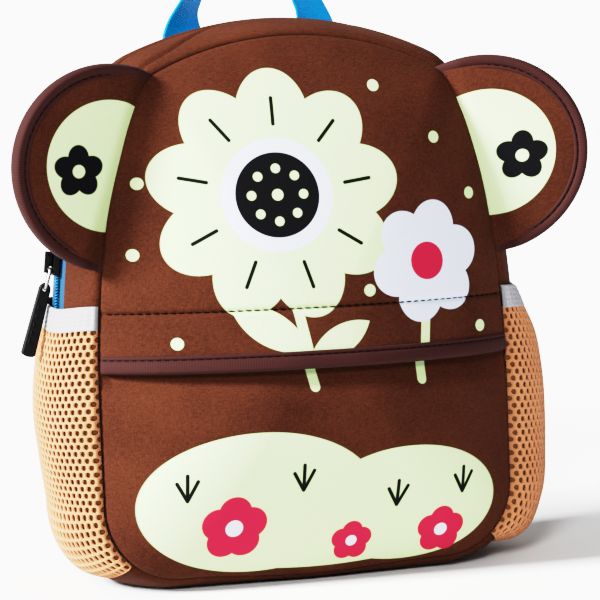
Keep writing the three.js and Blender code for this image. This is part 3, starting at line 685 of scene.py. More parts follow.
class Finish:
    """A material under construction: its shader, and helpers that add nodes to it."""

    def __init__(self, name, settings):
        self.material = bpy.data.materials.new(name)
        self.material.use_nodes = True
        self.tree = self.material.node_tree
        self.shader = self.tree.nodes["Principled BSDF"]
        for socket, value in settings.items():
            self.shader.inputs[socket].default_value = value

    def source(self, cloth):
        """Socket of the place on the cloth, in millimetres, or else in the part's frame, in metres."""
        if not cloth:
            return self.tree.nodes.new("ShaderNodeTexCoord").outputs["Object"]
        node = self.tree.nodes.new("ShaderNodeAttribute")
        node.attribute_name = "cloth"
        return node.outputs["Vector"]

    def place(self):
        """Fields of the place in the part's frame, in millimetres."""
        return self.split(self.source(cloth=False), 1 / MM)

    def cloth(self):
        """Fields of the place across and along the cloth, in millimetres."""
        return self.split(self.source(cloth=True), 1.0)[:2]

    def split(self, socket, scale):
        node = self.tree.nodes.new("ShaderNodeSeparateXYZ")
        self.tree.links.new(socket, node.inputs[0])
        return [Field(self.tree, output) * scale for output in node.outputs]

    def noise(self, size, stretch=(1, 1, 1), detail=2.0, cloth=False):
        """Noise from 0 to 1, with features of the given size in millimetres."""
        scale = 1 / size if cloth else 1 / (size * MM)
        mapping = self.tree.nodes.new("ShaderNodeMapping")
        mapping.inputs["Scale"].default_value = [scale * s for s in stretch]
        self.tree.links.new(self.source(cloth), mapping.inputs[0])
        node = self.tree.nodes.new("ShaderNodeTexNoise")
        node.inputs["Scale"].default_value = 1.0
        node.inputs["Detail"].default_value = detail
        self.tree.links.new(mapping.outputs[0], node.inputs["Vector"])
        return Field(self.tree, node.outputs["Fac"])

    def mixed(self, share, low, high):
        """A colour between two, each a colour or a socket."""
        node = self.tree.nodes.new("ShaderNodeMix")
        node.data_type = "RGBA"
        self.tree.links.new(share.socket, node.inputs["Factor"])
        for place, value in zip(MIX_COLOURS, (low, high)):
            if isinstance(value, tuple):
                node.inputs[place].default_value = (*value, 1)
            else:
                self.tree.links.new(value, node.inputs[place])
        return node.outputs[MIX_RESULT]

    def made(self, colour, height=None):
        """The material, with its colour and, where there is one, a bump of a height in millimetres."""
        self.tree.links.new(colour, self.shader.inputs["Base Color"])
        if height:
            node = self.tree.nodes.new("ShaderNodeBump")
            node.inputs["Strength"].default_value = 1.0
            node.inputs["Distance"].default_value = MM
            self.tree.links.new(height.socket, node.inputs["Height"])
            self.tree.links.new(node.outputs[0], self.shader.inputs["Normal"])
        return self.material


def spot(x, z, at, size):
    """Signed distance, negative inside, to an oval."""
    wide = (x - at[0]) / size[0]
    up = (z - at[1]) / size[1]
    return ((wide * wide + up * up).root() - 1.0) * min(size)


def disc(x, z, at, radius):
    return spot(x, z, at, (radius, radius))


def turned(x, z, at, degrees):
    """Places along and across a line through a point."""
    c, s = math.cos(math.radians(degrees)), math.sin(math.radians(degrees))
    dx, dz = x - at[0], z - at[1]
    return dx * c + dz * s, dz * c - dx * s


def folded(x, z, at, count, degrees=0.0):
    """Places along and across the nearest of a number of spokes round a point."""
    dx, dz = turned(x, z, at, degrees)
    sector = 2 * math.pi / count
    turns = dz.with_node("ARCTAN2", dx) / sector
    angle = (turns - turns.with_node("ROUND")) * sector
    reach = (dx * dx + dz * dz).root()
    return reach * angle.with_node("COSINE"), reach * angle.with_node("SINE")


def petals(x, z, at, count, inner, outer, width, degrees=0.0):
    """Signed distance to a ring of oval petals."""
    along, across = folded(x, z, at, count, degrees)
    return spot(along, across, ((inner + outer) / 2, 0), ((outer - inner) / 2, width / 2))


def stroke(x, z, start, end, width):
    """Signed distance to a straight pen stroke with round ends."""
    dx, dz = end[0] - start[0], end[1] - start[1]
    share = ((x - start[0]) * dx + (z - start[1]) * dz) / (dx * dx + dz * dz)
    share = share.most(0.0).least(1.0)
    off_x = x - start[0] - share * dx
    off_z = z - start[1] - share * dz
    return (off_x * off_x + off_z * off_z).root() - width / 2


def union(shapes):
    first, *others = shapes
    for shape in others:
        first = first.least(shape)
    return first


def leaf(x, z, at, degrees, length, width):
    """Signed distance to a leaf: where two circles overlap."""
    along, across = turned(x, z, at, degrees)
    radius = (length**2 + width**2) / (4 * width)
    off = radius - width / 2
    along = along - length / 2
    return disc(along, across, (0, off), radius).most(disc(along, across, (0, -off), radius))


def knit(finish):
    """Colour and bump of the knitted face of neoprene."""
    wale = finish.noise(0.8, (0.35, 0.35, 1.4))
    course = finish.noise(0.8, (1.3, 1.3, 0.45))
    slow = finish.noise(30, detail=1.0)
    weave = wale * 0.5 + course * 0.5
    shade = (weave * 2.6 + slow * 0.8).with_node("SUBTRACT", 1.2, clamp=True)
    return finish.mixed(shade, BROWN_DARK, BROWN), weave * 0.3


NEOPRENE_FINISH = {
    "Roughness": 0.9,
    "Specular IOR Level": 0.08,
    "Sheen Weight": 0.02,
    "Sheen Roughness": 0.4,
    "Sheen Tint": (0.8, 0.5, 0.4, 1),
}


def neoprene():
    finish = Finish("neoprene", NEOPRENE_FINISH)
    return finish.made(*knit(finish))


def printed(name, layers_of):
    """Neoprene with a print: layers_of gives pairs of a shape and its colour."""
    finish = Finish(name, NEOPRENE_FINISH)
    colour, height = knit(finish)
    x, _, z = finish.place()
    for shape, ink in layers_of(x, z):
        colour = finish.mixed(shape.inside(), colour, ink)
    return finish.made(colour, height * PRINTED_BUMP)


# Print: a meadow with a big flower, a small one and blossoms. Petals are their count, inner and outer
# reach, width and turn in degrees, and a leaf is its foot, turn in degrees, length and width
BIG_FLOWER = (-20, 199)
BIG_PETALS = (9, 14, 63, 37, 8)
BIG_MIDDLE = 28
BIG_HEART = 21
VEIN = ((35, 0), (48, 0), 2.0)
SEED_COUNT = 8
SEED_REACH = 13
SEED_RADIUS = 2.3
MIDDLE_SEED = 2.8
SMALL_FLOWER = (57, 163)
SMALL_PETALS = (6, 4, 31, 25, 15)
SMALL_HEART = 9.5
LEAVES = [((-9, 122), 148, 44, 17), ((-9, 118), 28, 36, 14)]
STEM_WIDTH = 5.0
STEM_FEET = [(-6, 104), (51, 104)]
UPPER_STEMS = [(-17, 160), (56, 150)]
POCKET_STEMS = [(-9, 128), (54, 128)]
SPECKS = [(-86, 207), (36, 252), (66, 225), (86, 196), (-90, 172), (24, 150), (88, 128), (-72, 128)]
SPECK_RADIUS = 3
HILLS = [((-34, 46), (60, 37)), ((44, 40), (50, 31)), ((0, 34), (86, 25))]
BLOSSOMS = [((-46, 34), 17), ((16, 22), 11), ((64, 24), 13)]
BLOSSOM_PETALS = 5
BLOSSOM_TURN = 18
BLOSSOM_HEART = 0.26
GRASS = [(-70, 50), (-12, 52), (38, 40), (74, 44)]
GRASS_BLADES = [(-5, 9), (0, 13), (5, 10)]
GRASS_WIDTH = 2.0
EAR_PATCH = ((98.5, 216), (32.8, 32.4))
EAR_BLOSSOM = (115, 214)
EAR_PETALS = (5, 0, 13, 11, 18)
EAR_HEART = 3.2


def stems(x, z, tops):
    return union(stroke(x, z, top, foot, STEM_WIDTH) for top, foot in zip(tops, STEM_FEET))


def upper_print(x, z):
    yield stems(x, z, UPPER_STEMS), CREAM
    yield union(leaf(x, z, *row) for row in LEAVES), CREAM
    yield union(disc(x, z, at, SPECK_RADIUS) for at in SPECKS), CREAM
    yield petals(x, z, BIG_FLOWER, *BIG_PETALS), CREAM
    yield stroke(*folded(x, z, BIG_FLOWER, BIG_PETALS[0], BIG_PETALS[-1]), *VEIN), INK
    yield disc(x, z, BIG_FLOWER, BIG_MIDDLE), PALE
    yield disc(x, z, BIG_FLOWER, BIG_HEART), INK
    spoke = folded(x, z, BIG_FLOWER, SEED_COUNT)
    yield disc(*spoke, (SEED_REACH, 0), SEED_RADIUS).least(disc(*spoke, (0, 0), MIDDLE_SEED)), CREAM
    yield petals(x, z, SMALL_FLOWER, *SMALL_PETALS), PALE
    yield disc(x, z, SMALL_FLOWER, SMALL_HEART), BLUSH


def pocket_print(x, z):
    yield stems(x, z, POCKET_STEMS), CREAM
    yield union(spot(x, z, at, size) for at, size in HILLS), CREAM
    blades = [(foot, np.add(foot, tip).tolist()) for foot in GRASS for tip in GRASS_BLADES]
    yield union(stroke(x, z, foot, tip, GRASS_WIDTH) for foot, tip in blades), INK
    flowers = (petals(x, z, at, BLOSSOM_PETALS, 0, size, size, BLOSSOM_TURN) for at, size in BLOSSOMS)
    yield union(flowers), BLUSH
    yield union(disc(x, z, at, size * BLOSSOM_HEART) for at, size in BLOSSOMS), PALE


def ear_print(x, z):
    side = abs(x)
    yield spot(side, z, *EAR_PATCH), CREAM
    yield petals(side, z, EAR_BLOSSOM, *EAR_PETALS), INK
    yield disc(side, z, EAR_BLOSSOM, EAR_HEART), CREAM


# Other cloths, threads and moulded pieces

def ribbed_tape():
    finish = Finish("ribbed_tape", {"Roughness": 0.75, "Specular IOR Level": 0.1, "Sheen Weight": 0.02})
    across, along = finish.cloth()
    rib = along.wave(TAPE_RIB, 0.25) * 0.5 + 0.5
    fibre = finish.noise(0.5, (1, 4, 1), cloth=True)
    colour = finish.mixed(rib * 0.3 + fibre * 0.5 + 0.15, PLUM_DARK, PLUM)
    return finish.made(colour, fibre * 0.06 + across.wave(0.55) * 0.02)


def mesh_cloth():
    finish = Finish("spacer_mesh", {"Roughness": 0.8, "Specular IOR Level": 0.25, "Sheen Weight": 0.06})
    across, along = finish.cloth()
    yarn = (across + along).wave(0.8) + (across - along).wave(0.8)
    patch = finish.noise(22, detail=1.0)
    share = (yarn * 0.14).with_node("ADD", patch, clamp=True)
    return finish.made(finish.mixed(share, TAN_DARK, TAN), yarn * 0.04)


def toned(colour, share):
    return tuple(share * c for c in colour)


# Painted shade: a sheet in dark tan under the pocket mesh, seen through its holes, with a faint net of
# lighter and darker tan
def mesh_painted_shade():
    finish = Finish("mesh_painted_shade", {"Roughness": 0.9, "Specular IOR Level": 0.2})
    across, along = finish.cloth()
    net = across.wave(0.9) * along.wave(0.9) * 0.5 + 0.5
    return finish.made(finish.mixed(net, toned(TAN_SHADE, 0.7), TAN_SHADE), net * 0.08)


def elastic_cloth():
    finish = Finish("elastic", {"Roughness": 0.7, "Sheen Weight": 0.05})
    across, along = finish.cloth()
    cord = finish.noise(0.4, (1, 5, 1), cloth=True)
    height = across.wave(0.9) * 0.03 + along.wave(0.7) * 0.03
    return finish.made(finish.mixed(cord, toned(WHITE, 0.82), WHITE), height)


def webbing_cloth():
    finish = Finish("webbing", {"Roughness": 0.6, "Specular IOR Level": 0.1, "Sheen Weight": 0.02})
    across, along = finish.cloth()
    twill = across.wave(1.7) * along.wave(1.3)
    return finish.made(finish.mixed(twill * 0.5 + 0.5, BLUE_DARK, BLUE), twill * 0.12)


def zip_cloth():
    finish = Finish("zip_tape", {"Roughness": 0.7, "Specular IOR Level": 0.3})
    across, along = finish.cloth()
    bone = (abs(across - ZIP_WEAVE_MIDDLE) + along).wave(1.2)
    return finish.made(finish.mixed(bone * 0.2 + 0.2, ZIP_BLUE_DARK, ZIP_BLUE), bone * 0.06)


def moulded(name, colour, settings, grain=0.25):
    finish = Finish(name, settings)
    speck = finish.noise(grain)
    return finish.made(finish.mixed(speck, colour, toned(colour, 1.5)), speck * 0.03)


def thread(name, colour):
    finish = Finish(name, {"Roughness": 0.8, "Specular IOR Level": 0.05})
    twist = finish.noise(0.35, detail=1.0)
    return finish.made(finish.mixed(twist, toned(colour, 0.6), colour))


NEOPRENE_CLOTH = neoprene()
UPPER_CLOTH = printed("printed_upper", upper_print)
POCKET_CLOTH = printed("printed_pocket", pocket_print)
EAR_CLOTH = printed("printed_ear", ear_print)
RIBBED = ribbed_tape()
SPACER = mesh_cloth()
# Painted shade seen through the pocket mesh's holes
SPACER_SHADE = mesh_painted_shade()
ELASTIC_CLOTH = elastic_cloth()
WEBBING = webbing_cloth()
ZIP_CLOTH = zip_cloth()
COIL_NYLON = moulded("coil_nylon", ZIP_BLUE, {"Roughness": 0.4, "Specular IOR Level": 0.25})
PLASTIC = moulded("black_plastic", BLACK, {"Roughness": 0.45, "Specular IOR Level": 0.12})
RUBBER = moulded("black_rubber", BLACK, {"Roughness": 0.6, "Specular IOR Level": 0.1}, grain=0.4)
WIRE = moulded("steel_wire", STEEL, {"Roughness": 0.3, "Metallic": 1.0})
DARK_THREAD = thread("dark_thread", BROWN_THREAD)
PLUM_THREAD = thread("plum_thread", PLUM_DARK)


# Front and back panels

def panel_walls(surface, seam_y, dip=0.0):
    """Outer and inner face of a panel whose sewn edges roll into the seam."""
    edge = seam_distance(surface, seam_y)
    near = (1 - smoothstep(edge, 0, SEAM_TURN))[..., None]
    lift = unit(outward(surface) * (1 - near) + seam_rim(surface, np.sign(seam_y)) * near)
    dip = dip * smoothstep(edge, 0, STITCH_DIP_RUN)
    outer = surface - lift * (rolled(edge, SEAM_ROLL) + dip)[..., None]
    inner = surface - lift * (NEOPRENE + dip)[..., None]
    return outer, inner


def stitch_dip(x, z):
    """Depth of the groove that the topstitching pulls, with a pucker at each stitch."""
    fall = np.exp(-(((z - FLAP_TOP_Z) / STITCH_DIP_WIDTH) ** 2))
    return STITCH_DIP * fall * (1 + STITCH_PUCKER * np.cos(2 * math.pi * x / STITCH_PITCH))


def level_line(z, share):
    half = half_width_at(z)
    return np.stack([half * (2 * share - 1), z + 0 * share], -1)


def upper_seam(q_end, share):
    """The seam over the arch, from a place on the left to the same height on the right."""
    return seam_at(q_end * (2 * share - 1))


def lower_seam(q_end, share):
    """The seam under the base, from a place on the left to the same height on the right."""
    return seam_at(-(q_end + (2 * SEAM_HALF - 2 * q_end) * share))


def add_panel(name, first, last, down, y_of, seam_y, finish, node, dip_of=None):
    """A neoprene panel from one line in x and z down to another. y_of gives its depth at a place."""
    share = down[:, None, None]
    grid = first * (1 - share) + last * share
    x, z = grid[..., 0], grid[..., 1]
    surface = np.stack([x, y_of(x, z), z], -1)
    outer, inner = panel_walls(surface, seam_y, dip_of(x, z) if dip_of else 0.0)
    return add_shell(name, outer, inner, [finish], node=node, slot="neoprene")


def add_upper_panel():
    def upper_y(x, z):
        return front_y(x, z) - waviness(x, z)

    share = np.linspace(0, 1, 221)
    first = upper_seam(q_at_height(FLAP_TOP_Z + PANEL_CORNER), share)
    down = spaced(137, 2.0, start=8, end=8)
    piece = add_panel("front_upper", first, level_line(FLAP_TOP_Z, share), down, upper_y, FRONT_Y,
                      UPPER_CLOTH, "upper_panel", stitch_dip)


def add_pocket_panel():
    def puffed_y(x, z):
        return pocket_y(x, z) - waviness(x, z + 60)

    share = np.linspace(0, 1, 231)
    first = lower_seam(q_at_height(POCKET_TOP_Z - PANEL_CORNER), share)
    down = spaced(122, 2.0, start=8, end=4)
    piece = add_panel("front_pocket", first, level_line(POCKET_TOP_Z, share), down, puffed_y, FRONT_Y,
                      POCKET_CLOTH, "pocket_panel")


def add_back_panel():
    def rear_y(x, z):
        return back_y(x, z) + waviness(x + 40, z)

    share = np.linspace(0, 1, 141)
    first = upper_seam(q_at_height(MIDDLE_Z + BACK_CORNER), share)
    last = lower_seam(q_at_height(MIDDLE_Z - BACK_CORNER), share)
    down = spaced(273, 3.2, start=8, end=8)
    piece = add_panel("back", first, last, down, rear_y, BACK_Y, NEOPRENE_CLOTH, "back_panel")


def line_normals(line):
    """Forward-facing normals of a level line on the front."""
    along = np.gradient(line, axis=0)
    return unit(np.cross(along, np.array([0, 0, 1.0])))


def add_flap():
    share = spaced(216, 1.6, start=8, end=8)
    z = FLAP_TOP_Z - (FLAP_TOP_Z - FLAP_LOW_Z) * spaced(30, 1.2, start=6)
    surface = flap_point(share[None, :], z[:, None])
    x = surface[..., 0]
    surface[..., 1] -= waviness(x, surface[..., 2])
    outer, inner = panel_walls(surface, FRONT_Y, stitch_dip(x, surface[..., 2]))
    piece = add_shell("flap", outer, inner, [UPPER_CLOTH], node="pocket_flap", slot="neoprene")

    line = flap_point(np.linspace(0.004, 0.996, PATH_STEPS), FLAP_TOP_Z)
    add_stitches("flap_stitches", line, line_normals(line), DARK_THREAD,
                 lift=STITCH_STAND - STITCH_DIP, thick=0.8)


def add_flap_tape():
    line = even_line(flap_point(np.linspace(0, 1, PATH_STEPS), FLAP_LOW_Z), TAPE_RIB / 2)
    share = line[:, 0] / (2 * half_width_at(FLAP_LOW_Z)) + 0.5
    across = unit(flap_point(share, FLAP_LOW_Z + 1) - line)
    out = unit(np.cross(np.gradient(line, axis=0), across))
    run = run_of(line)
    end = np.minimum(run, run[-1] - run)
    line = line - seam_rim(line, -1) * (TAPE_END_DIVE * rolled(end, SEAM_ROLL))[:, None]
    pinch = 0.5 + 0.5 * smoothstep(end, 0, TAPE_END_RUN)
    add_folded_tape("flap_tape", line, across, out, pinch, NEOPRENE, TAPE_LEG,
                    "flap_binding", "flap_tape_stitches")


# Folded tape

def tape_section(sheet_thick, leg):
    """Outside and inside of a folded tape's section, from its front edge round to its back edge."""
    steps = np.array([*(step for step in TAPE_STEPS if step < leg - 0.2), leg])
    turn = np.linspace(0, math.pi, 9)[1:-1]
    half = sheet_thick / 2

    def section(height, nose, top):
        """One side of the section: its height over the cloth, and how far its nose stands out and up."""
        front = np.stack([leg - steps, height], -1)
        round_edge = np.stack([-nose * np.sin(turn), -half + (half + top) * np.cos(turn)], -1)
        return np.concatenate([front, round_edge, front[::-1] * [1, -1] - [0, sheet_thick]])

    height = eased(TAPE_HEIGHT, steps)
    inside = section(np.full(len(steps), TAPE_CLEAR), TAPE_NOSE_INSIDE, 0)
    return section(height, TAPE_NOSE, height[-1]), inside


def add_folded_tape(name, line, across, out, pinch, sheet_thick, leg, node, stitch_name):
    """Tape folded over a sheet's edge. line runs along that edge on the sheet's front."""
    outside, inside = tape_section(sheet_thick, leg)

    def pinched(height):
        return (height + sheet_thick / 2) * pinch[:, None] - sheet_thick / 2

    def placed(section):
        height = pinched(section[:, 1])[..., None]
        return line[:, None] + across[:, None] * section[:, 0, None] + out[:, None] * height

    outer, inner = placed(outside), placed(inside)
    run = run_of(line)
    normal = unit(np.cross(np.gradient(outer, axis=0), np.gradient(outer, axis=1)))
    middle = len(outside) // 2
    normal *= np.sign((normal[:, middle] * (outer[:, middle] - inner[:, middle])).sum())
    fade = np.ones(len(outside))
    fade[[0, -1]] = 0
    rib = TAPE_RIB_HEIGHT * np.cos(2 * math.pi * run / TAPE_RIB)
    outer = outer + normal * (rib[:, None] * fade)[..., None]
    cloth = np.stack(np.broadcast_arrays(run_of(outside)[None, :], run[:, None]), -1)
    add_shell(name, outer, inner, [RIBBED], cloth=cloth, node=node, slot="binding")

    height = pinched(eased(TAPE_HEIGHT, TAPE_STITCH)) + STITCH_CLEAR
    seam = line + across * (leg - TAPE_STITCH) + out * height
    add_stitches(stitch_name, seam, out, PLUM_THREAD, thick=0.9)


# Side walls and zip

Q_ZIP_END = float(q_at_height(ZIP_END_Z))


def zip_arch(q):
    """Share by which a place belongs to the arch, where the zip is covered."""
    return smoothstep(seam_at(q)[..., 1], ZIP_ARCH_FROM, ZIP_ARCH_TO)


def zip_lips(q):
    """Depths of the zip's front and rear lip, which nearly meet over the arch."""
    arch = zip_arch(q)
    return [side + (top - side) * arch for side, top in zip(ZIP_LIPS["side"], ZIP_LIPS["arch"])]


def add_wall_strip(name, q, depth, node, sewn_front, sewn_rear):
    """A strip of side wall. depth holds its places from front to rear, for one q or for each."""
    q, depth = np.broadcast_arrays(q[:, None], depth)
    surface = wall_surface(q, depth)
    lift = wall_normal(q, depth)
    run = run_of(surface, axis=1)
    seam = np.insert(seam_at(q), 1, 0, axis=-1)
    if not sewn_front:
        drop = REAR_LIP_DROP * (1 - zip_arch(q)) * (1 - smoothstep(run, 0, REAR_LIP_RUN))
        surface = surface - lift * drop[..., None]
    if not sewn_rear:
        fold = ((depth - through(FOLD_DEPTHS, seam[..., 2])) / FOLD_WIDTH) ** 2
        surface = surface - lift * (eased(FOLD_FALLS, seam[..., 2]) * np.exp(-fold))[..., None]
    outer_fall = np.zeros(run.shape)
    inner_fall = np.zeros(run.shape)
    for edge, sewn, side in ((run, sewn_front, -1), (run[:, -1:] - run, sewn_rear, 1)):
        if sewn:
            near = (1 - smoothstep(edge, 0, 2 * WALL_ROLL))[..., None]
            lift = unit(lift * (1 - near) + seam_rim(seam, side) * near)
            outer_fall += WALL_ROLL_SHARE * rolled(edge, WALL_ROLL)
        else:
            outer_fall += rolled(edge, LIP_ROLL)
            inner_fall += rolled(edge, NEOPRENE - LIP_ROLL)
    outer = surface - lift * outer_fall[..., None]
    inner = surface - lift * (NEOPRENE - inner_fall)[..., None]
    outer[..., 2] = np.maximum(0, outer[..., 2])
    return add_shell(name, outer, inner, [NEOPRENE_CLOTH], node=node, slot="neoprene")


def add_side_walls():
    q = np.linspace(-Q_ZIP_END, Q_ZIP_END, 341)
    depth = zip_lips(q)[0][:, None] * spaced(30, 1.1, start=7, end=3)
    add_wall_strip("side_front", q, depth, "gusset_front_strip", sewn_front=True, sewn_rear=False)
    q = np.linspace(-Q_ZIP_END, Q_ZIP_END, 231)
    rear = zip_lips(q)[1][:, None]
    depth = rear + (DEPTH - rear) * spaced(50, 2.0, start=3, end=7)
    add_wall_strip("side_rear", q, depth, "gusset_rear_strip", sewn_front=False, sewn_rear=True)
    q = np.linspace(Q_ZIP_END + GAP, 2 * SEAM_HALF - Q_ZIP_END - GAP, 221)
    depth = DEPTH * spaced(110, 2.8, start=7, end=7)
    add_wall_strip("side_base", q, depth, "gusset_base", sewn_front=True, sewn_rear=True)


def zip_level(q, depth):
    """Lift of the zip tape's face, which lies deeper over the arch."""
    front, rear = ZIP_LIPS["side"]
    across = (depth - front + TAPE_OVERLAP) / (rear - front + TAPE_OVERLAP)
    return eased(TAPE_LIFTS, across) - ARCH_SINK * smoothstep(seam_at(q)[..., 1], SINK_FROM, SINK_TO)


def add_zip_tape():
    front, rear = ZIP_LIPS["side"]
    q = np.linspace(-Q_ZIP_END, Q_ZIP_END, 221)
    q, depth = np.meshgrid(q, np.linspace(front - TAPE_OVERLAP, rear, 31), indexing="ij")
    level = zip_level(q, depth)
    outer = wall_lifted(q, depth, level)
    inner = wall_lifted(q, depth, level - TAPE_THICK)
    add_shell("zip_cloth", outer, inner, [ZIP_CLOTH], node="zip_tape", slot="zip_tape")


def add_zip_coils():
    """Two flat coils that mesh along the middle of the zip."""
    q = np.linspace(-Q_ZIP_END, Q_ZIP_END, 500)
    middle = wall_lifted(q, ZIP_MIDDLE, zip_level(q, ZIP_MIDDLE) + COIL_LIFT)
    middle = even_line(middle, COIL_PITCH / COIL_STEPS)
    along = unit(np.gradient(middle, axis=0))
    across = np.array([0.0, 1.0, 0.0]) + 0 * along
    out = unit(np.cross(across, along))
    out *= np.sign((out * (middle - INSIDE)).sum(-1, keepdims=True))
    turn = 2 * math.pi * np.arange(len(middle)) / COIL_STEPS
    points, faces = [], []
    for side in (-1, 1):
        angle = turn * side + math.pi * (side > 0)
        wide = side * (COIL_OFFSET + COIL_HALF_WIDTH * np.cos(angle))
        line = middle + across * wide[:, None] + out * (COIL_HALF_HEIGHT * np.sin(angle))[:, None]
        tangent = unit(np.gradient(line, axis=0))
        first = unit(np.cross(tangent, along))
        second = np.cross(tangent, first)
        tube, tube_faces = tube_mesh(line, first * COIL_WIRE, second * COIL_WIRE, COIL_SIDES)
        faces += shifted(tube_faces, len(points) * len(tube))
        points.append(tube)
    add_piece("zip_coils", np.concatenate(points), faces, [COIL_NYLON], node="zip_coil", slot="zip_coil")


# Ears

EAR_CHORD = unit(np.subtract(EAR_TOP, EAR_LOW))
EAR_FORWARD = unit(np.array([-EAR_SWEEP * EAR_CHORD[1], -1, EAR_SWEEP * EAR_CHORD[0]]))
EAR_LOW_ANGLE = math.atan2(EAR_LOW[1] - EAR_Z, EAR_LOW[0] - EAR_X)
EAR_TOP_ANGLE = math.atan2(EAR_TOP[1] - EAR_Z, EAR_TOP[0] - EAR_X)


def ear_reach(x, z):
    """Distance out from the line between the ear's two ends on the seam."""
    return (x - EAR_LOW[0]) * EAR_CHORD[1] - (z - EAR_LOW[1]) * EAR_CHORD[0]


def ear_y(x, z):
    reach = ear_reach(x, z)
    tuck = EAR_TUCK * (1 - smoothstep(reach, 0, EAR_TUCK_RUN))
    return FRONT_Y - EAR_PROUD + tuck - EAR_SWEEP * np.maximum(0, reach)


def ear_pinch(x, z):
    """Share of its thickness that the ear keeps, as it thins into the seam."""
    return EAR_PINCH + (1 - EAR_PINCH) * smoothstep(ear_reach(x, z), 0, EAR_TUCK_RUN)


def ear_point(angle, radius):
    x = EAR_X + radius * np.cos(angle)
    z = EAR_Z + radius * np.sin(angle)
    return np.stack([x, ear_y(x, z), z], -1)


def add_ear_pad(name, mirror):
    v = np.linspace(0, 1, 121)[:, None]
    u = spaced(50, 1.6, start=4, end=4)[None, :]
    q_low, q_top = q_at_height(EAR_ROOT_LOW_Z), q_at_height(EAR_ROOT_TOP_Z)
    q = q_low + (q_top - q_low) * v[:, 0]
    root = seam_at(q) - EAR_ROOT_DEPTH * seam_normal(q)
    root = np.stack([root[:, 0], ear_y(*root.T), root[:, 1]], -1)[:, None]
    sweep = EAR_TOP_ANGLE - EAR_LOW_ANGLE - 2 * EAR_INSET
    rim = ear_point(EAR_LOW_ANGLE + EAR_INSET + sweep * v, EAR_PAD_RADIUS)
    flat = root + (rim - root) * u[..., None]
    x, z = flat[..., 0], flat[..., 2]
    surface = np.stack([x, ear_y(x, z), z], -1)
    edge = (1 - u) * np.linalg.norm(rim - root, axis=-1)
    thick = ear_pinch(x, z) * (EAR_THICK + EAR_PUFF * np.sin(math.pi * u))
    rise = EAR_FORWARD * np.maximum(EAR_LEAST, thick / 2 - rolled(edge, EAR_ROLL))[..., None]
    pad = add_shell(f"ear_pad_{name}", (surface + rise) * mirror, (surface - rise) * mirror,
                    [EAR_CLOTH, NEOPRENE_CLOTH], node=f"ear_{name}", slot="neoprene")


def add_ear_tape(name, mirror):
    over = EAR_TAPE_OVER / EAR_RADIUS
    angle = np.linspace(EAR_LOW_ANGLE - over, EAR_TOP_ANGLE + over, 300)
    line = even_line(ear_point(angle, EAR_PAD_RADIUS), TAPE_RIB / 2)
    angle = np.unwrap(np.arctan2(line[:, 2] - EAR_Z, line[:, 0] - EAR_X))
    across = unit(ear_point(angle, EAR_PAD_RADIUS - 1) - line)
    pinch = ear_pinch(line[:, 0], line[:, 2])
    origin = line + EAR_FORWARD * (EAR_THICK / 2)
    out = np.tile(EAR_FORWARD, (len(line), 1))
    add_folded_tape(f"ear_tape_{name}", origin * mirror, across * mirror, out * mirror, pinch, EAR_THICK,
                    EAR_TAPE_LEG, f"ear_binding_{name}", f"ear_stitches_{name}")


def add_ear(name, side):
    mirror = np.array([side, 1, 1])
    add_ear_pad(name, mirror)
    add_ear_tape(name, mirror)


# Mesh side pockets

def swell(u):
    """How a pocket stands off the wall, from seam to seam."""
    return np.maximum(0, np.sin(math.pi * np.clip(u, 0, 1))) ** POCKET_POWER


class Pocket:
    """The lines of one side pocket: its mouth, its end, its width and how far it stands off the wall."""

    def __init__(self, name, side):
        self.name = name
        self.side = side
        self.stand = POCKET_STANDS[name]
        self.mouth = float(q_at_height(MOUTH_Z))
        self.end = Q_CORNER + CORNER_RUN * POCKET_ENDS[name]
        self.depth_share = np.linspace(0, 1, PATH_STEPS)
        gap = float(through(self.stand, 0.5)) * swell(self.depth_share)
        level = Q_CORNER - POCKET_MIDDLE
        run = run_of(wall_lifted(level, DEPTH * self.depth_share, MESH_CLEAR + gap))
        self.width = float(run[-1])
        self.across_share = run / self.width

    def depth(self, across):
        """Share of the wall's depth at a share of the pocket's width."""
        return np.interp(across, self.across_share, self.depth_share)

    def tuck_in(self, across):
        """How far the pocket's sewn sides dive into the seams."""
        edge = np.minimum(across, 1 - across) * self.width
        return POCKET_TUCK_IN * (1 - smoothstep(edge, 0, POCKET_TUCK_IN))

    def mesh_point(self, across, along, lift):
        """A place on the mesh from even shares across and along it."""
        u = self.depth(across)
        top = self.mouth + ELASTIC + through(MOUTH_DIPS, u) - MESH_UNDER
        q = top + (self.end - top) * along
        gap = through(self.stand, along) * swell(u) - self.tuck_in(across)
        return wall_lifted(self.side * q, DEPTH * u, MESH_CLEAR + MESH_THICK + gap + lift)


def add_mesh(pocket):
    """The net of the pocket, and under it a sheet in dark tan that is painted shade seen through its holes.
    """
    columns = round(pocket.width / HOLE_ACROSS)
    rows = round((pocket.end - pocket.mouth - ELASTIC) / HOLE_ALONG)
    size = np.array([pocket.width, rows * HOLE_ALONG])
    share, lift, faces = mesh_cells(columns, rows)
    place = pocket.mesh_point(share[:, 0], share[:, 1], lift)
    if pocket.side < 0:
        faces = [face[::-1] for face in faces]
    net = add_piece(f"mesh_{pocket.name}", place, faces, [SPACER], node=f"side_pocket_{pocket.name}",
                    slot="mesh", cloth=share * size)

    # Under the net, a sheet in dark tan: painted shade seen through the holes
    across, along = np.meshgrid(np.linspace(0, 1, 61), np.linspace(0, 1, 61))
    outer, inner = (pocket.mesh_point(across, along, lift) for lift in SHADE_SHEET_LIFTS)
    shade_sheet = add_shell(f"mesh_back_{pocket.name}", outer, inner, [SPACER_SHADE], slot="mesh")


